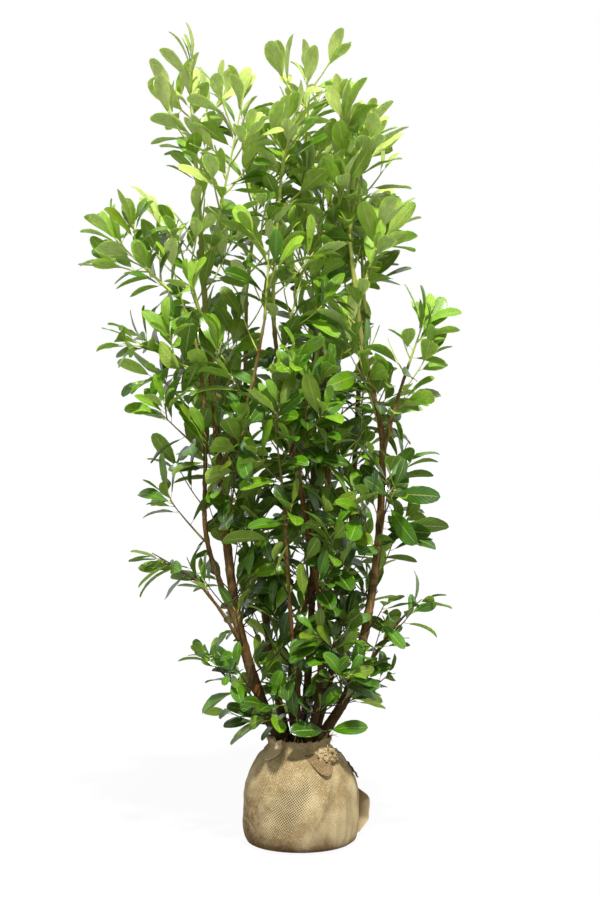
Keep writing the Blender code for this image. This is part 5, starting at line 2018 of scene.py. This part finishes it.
class LAUREL_OT_foliage(bpy.types.Operator):
    """Grows the twigs and leaves of every mass of foliage"""

    bl_idname = "laurel.foliage"
    bl_label = "Twigs and leaves"

    def execute(self, context):
        wood = context.scene.laurel_wood
        settings = context.scene.laurel_leaves
        lines = grow_lines()
        shoots = grow_shoots(lines)
        for name, low, high, shade in TWIG_ZONES:
            some = [shoot for shoot in shoots if low < shoot.path[-1].z <= high]
            surface = twig_surface("laurel " + name, getattr(wood, shade), wood)
            dress(twig_piece(name, some), [surface], "bark")
        boxes = {mass.name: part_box(mass.name) for mass in MASSES}
        zones = {}
        for name, (_, high) in boxes.items():
            zones[name] = next(zone for zone, top in ZONES if high.z - ZONE_MARGIN < top)
        canopy = Canopy(lines, boxes)
        leaves = []
        for order, shoot in enumerate(shoots):
            leaves.extend(leaves_of(shoot, settings, canopy, zones[shoot.mass], order))
        surfaces = [stalk_surface(settings) if tint == STALK else leaf_surface(tint, settings)
                    for tint in LEAF_FINISHES]
        for zone, _ in ZONES:
            some = [leaf for leaf in leaves if leaf.zone == zone]
            names = [name for name, where in zones.items() if where == zone]
            slot = "young_foliage" if zone == "foliage_top" else "foliage"
            dress(leaf_piece(zone, some, settings), surfaces, slot, *names)
        return {"FINISHED"}


class LAUREL_OT_ball(bpy.types.Operator):
    """Makes the burlap round the root ball, its loose corner, its bunched end and its threads"""

    bl_idname = "laurel.ball"
    bl_label = "Burlap"

    def execute(self, context):
        settings = context.scene.laurel_cloth
        cloth = Cloth(settings)
        weave = burlap_surface("burlap", settings)
        # the loose corner and the left lap get painted light; the tongue under the knot gets painted shade
        pale = burlap_surface("pale burlap", settings, 0.75)
        stained = burlap_surface("stained burlap", settings, -0.8)
        dress(cloth_piece(settings, cloth), [weave], "burlap", "burlap_wrap")
        dress(flap_piece(settings, cloth), [pale], "burlap", "burlap_flap")
        dress(knot_piece(cloth), [weave], "burlap", "burlap_knot")
        dress(lap_piece("burlap_lap", LEFT_LAP, settings, cloth), [pale], "burlap")
        dress(lap_piece("burlap_tongue", KNOT_LAP, settings, cloth), [stained], "burlap")
        dress(threads_piece(cloth), [thread_surface(settings)], "burlap")
        dress(dry_leaf_piece(cloth), [dry_leaf_surface(settings)], "foliage")
        return {"FINISHED"}


class LAUREL_OT_soil(bpy.types.Operator):
    """Gives the soil its grain, and a crumbly top between the stems"""

    bl_idname = "laurel.soil"
    bl_label = "Soil"

    def execute(self, context):
        settings = context.scene.laurel_cloth
        earth = soil_surface(settings)
        frame["nodes"]["soil"].material_slots[0].material = earth
        dress(soil_piece(), [earth], "soil")
        return {"FINISHED"}


class LAUREL_OT_stage(bpy.types.Operator):
    """Sets the floor, the lights and the camera"""

    bl_idname = "laurel.stage"
    bl_label = "Floor, lights and camera"

    def execute(self, context):
        settings = context.scene.laurel_stage
        floor_piece(settings)
        key_light(settings)
        context.scene.world = fill_light(settings)
        context.scene.camera = front_camera(settings)
        context.scene.view_settings.view_transform = "Standard"
        return {"FINISHED"}


class LAUREL_PT_panel(bpy.types.Panel):
    """Lists the parts of the sapling"""

    bl_label = "Laurel"
    bl_idname = "LAUREL_PT_panel"
    bl_space_type = "VIEW_3D"
    bl_region_type = "UI"
    bl_category = "Laurel"

    def draw(self, context):
        for operator in OPERATORS:
            self.layout.operator(operator.bl_idname)
        for name in SETTINGS:
            box = self.layout.box()
            group = getattr(context.scene, name)
            for prop in group.bl_rna.properties:
                if not prop.is_readonly and prop.identifier != "name":
                    box.prop(group, prop.identifier)


SETTINGS = {"laurel_leaves": LaurelLeafSettings, "laurel_wood": LaurelWoodSettings,
            "laurel_cloth": LaurelClothSettings, "laurel_stage": LaurelStageSettings}
OPERATORS = (LAUREL_OT_bark, LAUREL_OT_foliage, LAUREL_OT_ball, LAUREL_OT_soil, LAUREL_OT_stage)
CLASSES = (*SETTINGS.values(), *OPERATORS, LAUREL_PT_panel)


def register():
    """Makes the settings, operators and panel known to Blender."""
    for made in CLASSES:
        bpy.utils.register_class(made)
    for name, group in SETTINGS.items():
        setattr(bpy.types.Scene, name, PointerProperty(type=group))


def unregister():
    """Takes them away again."""
    for name in SETTINGS:
        delattr(bpy.types.Scene, name)
    for made in reversed(CLASSES):
        bpy.utils.unregister_class(made)


def main():
    """Dresses the sapling."""
    register()
    bpy.ops.laurel.bark()
    bpy.ops.laurel.foliage()
    bpy.ops.laurel.ball()
    bpy.ops.laurel.soil()
    bpy.ops.laurel.stage()
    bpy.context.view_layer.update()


if __name__ == "__main__":
    main()
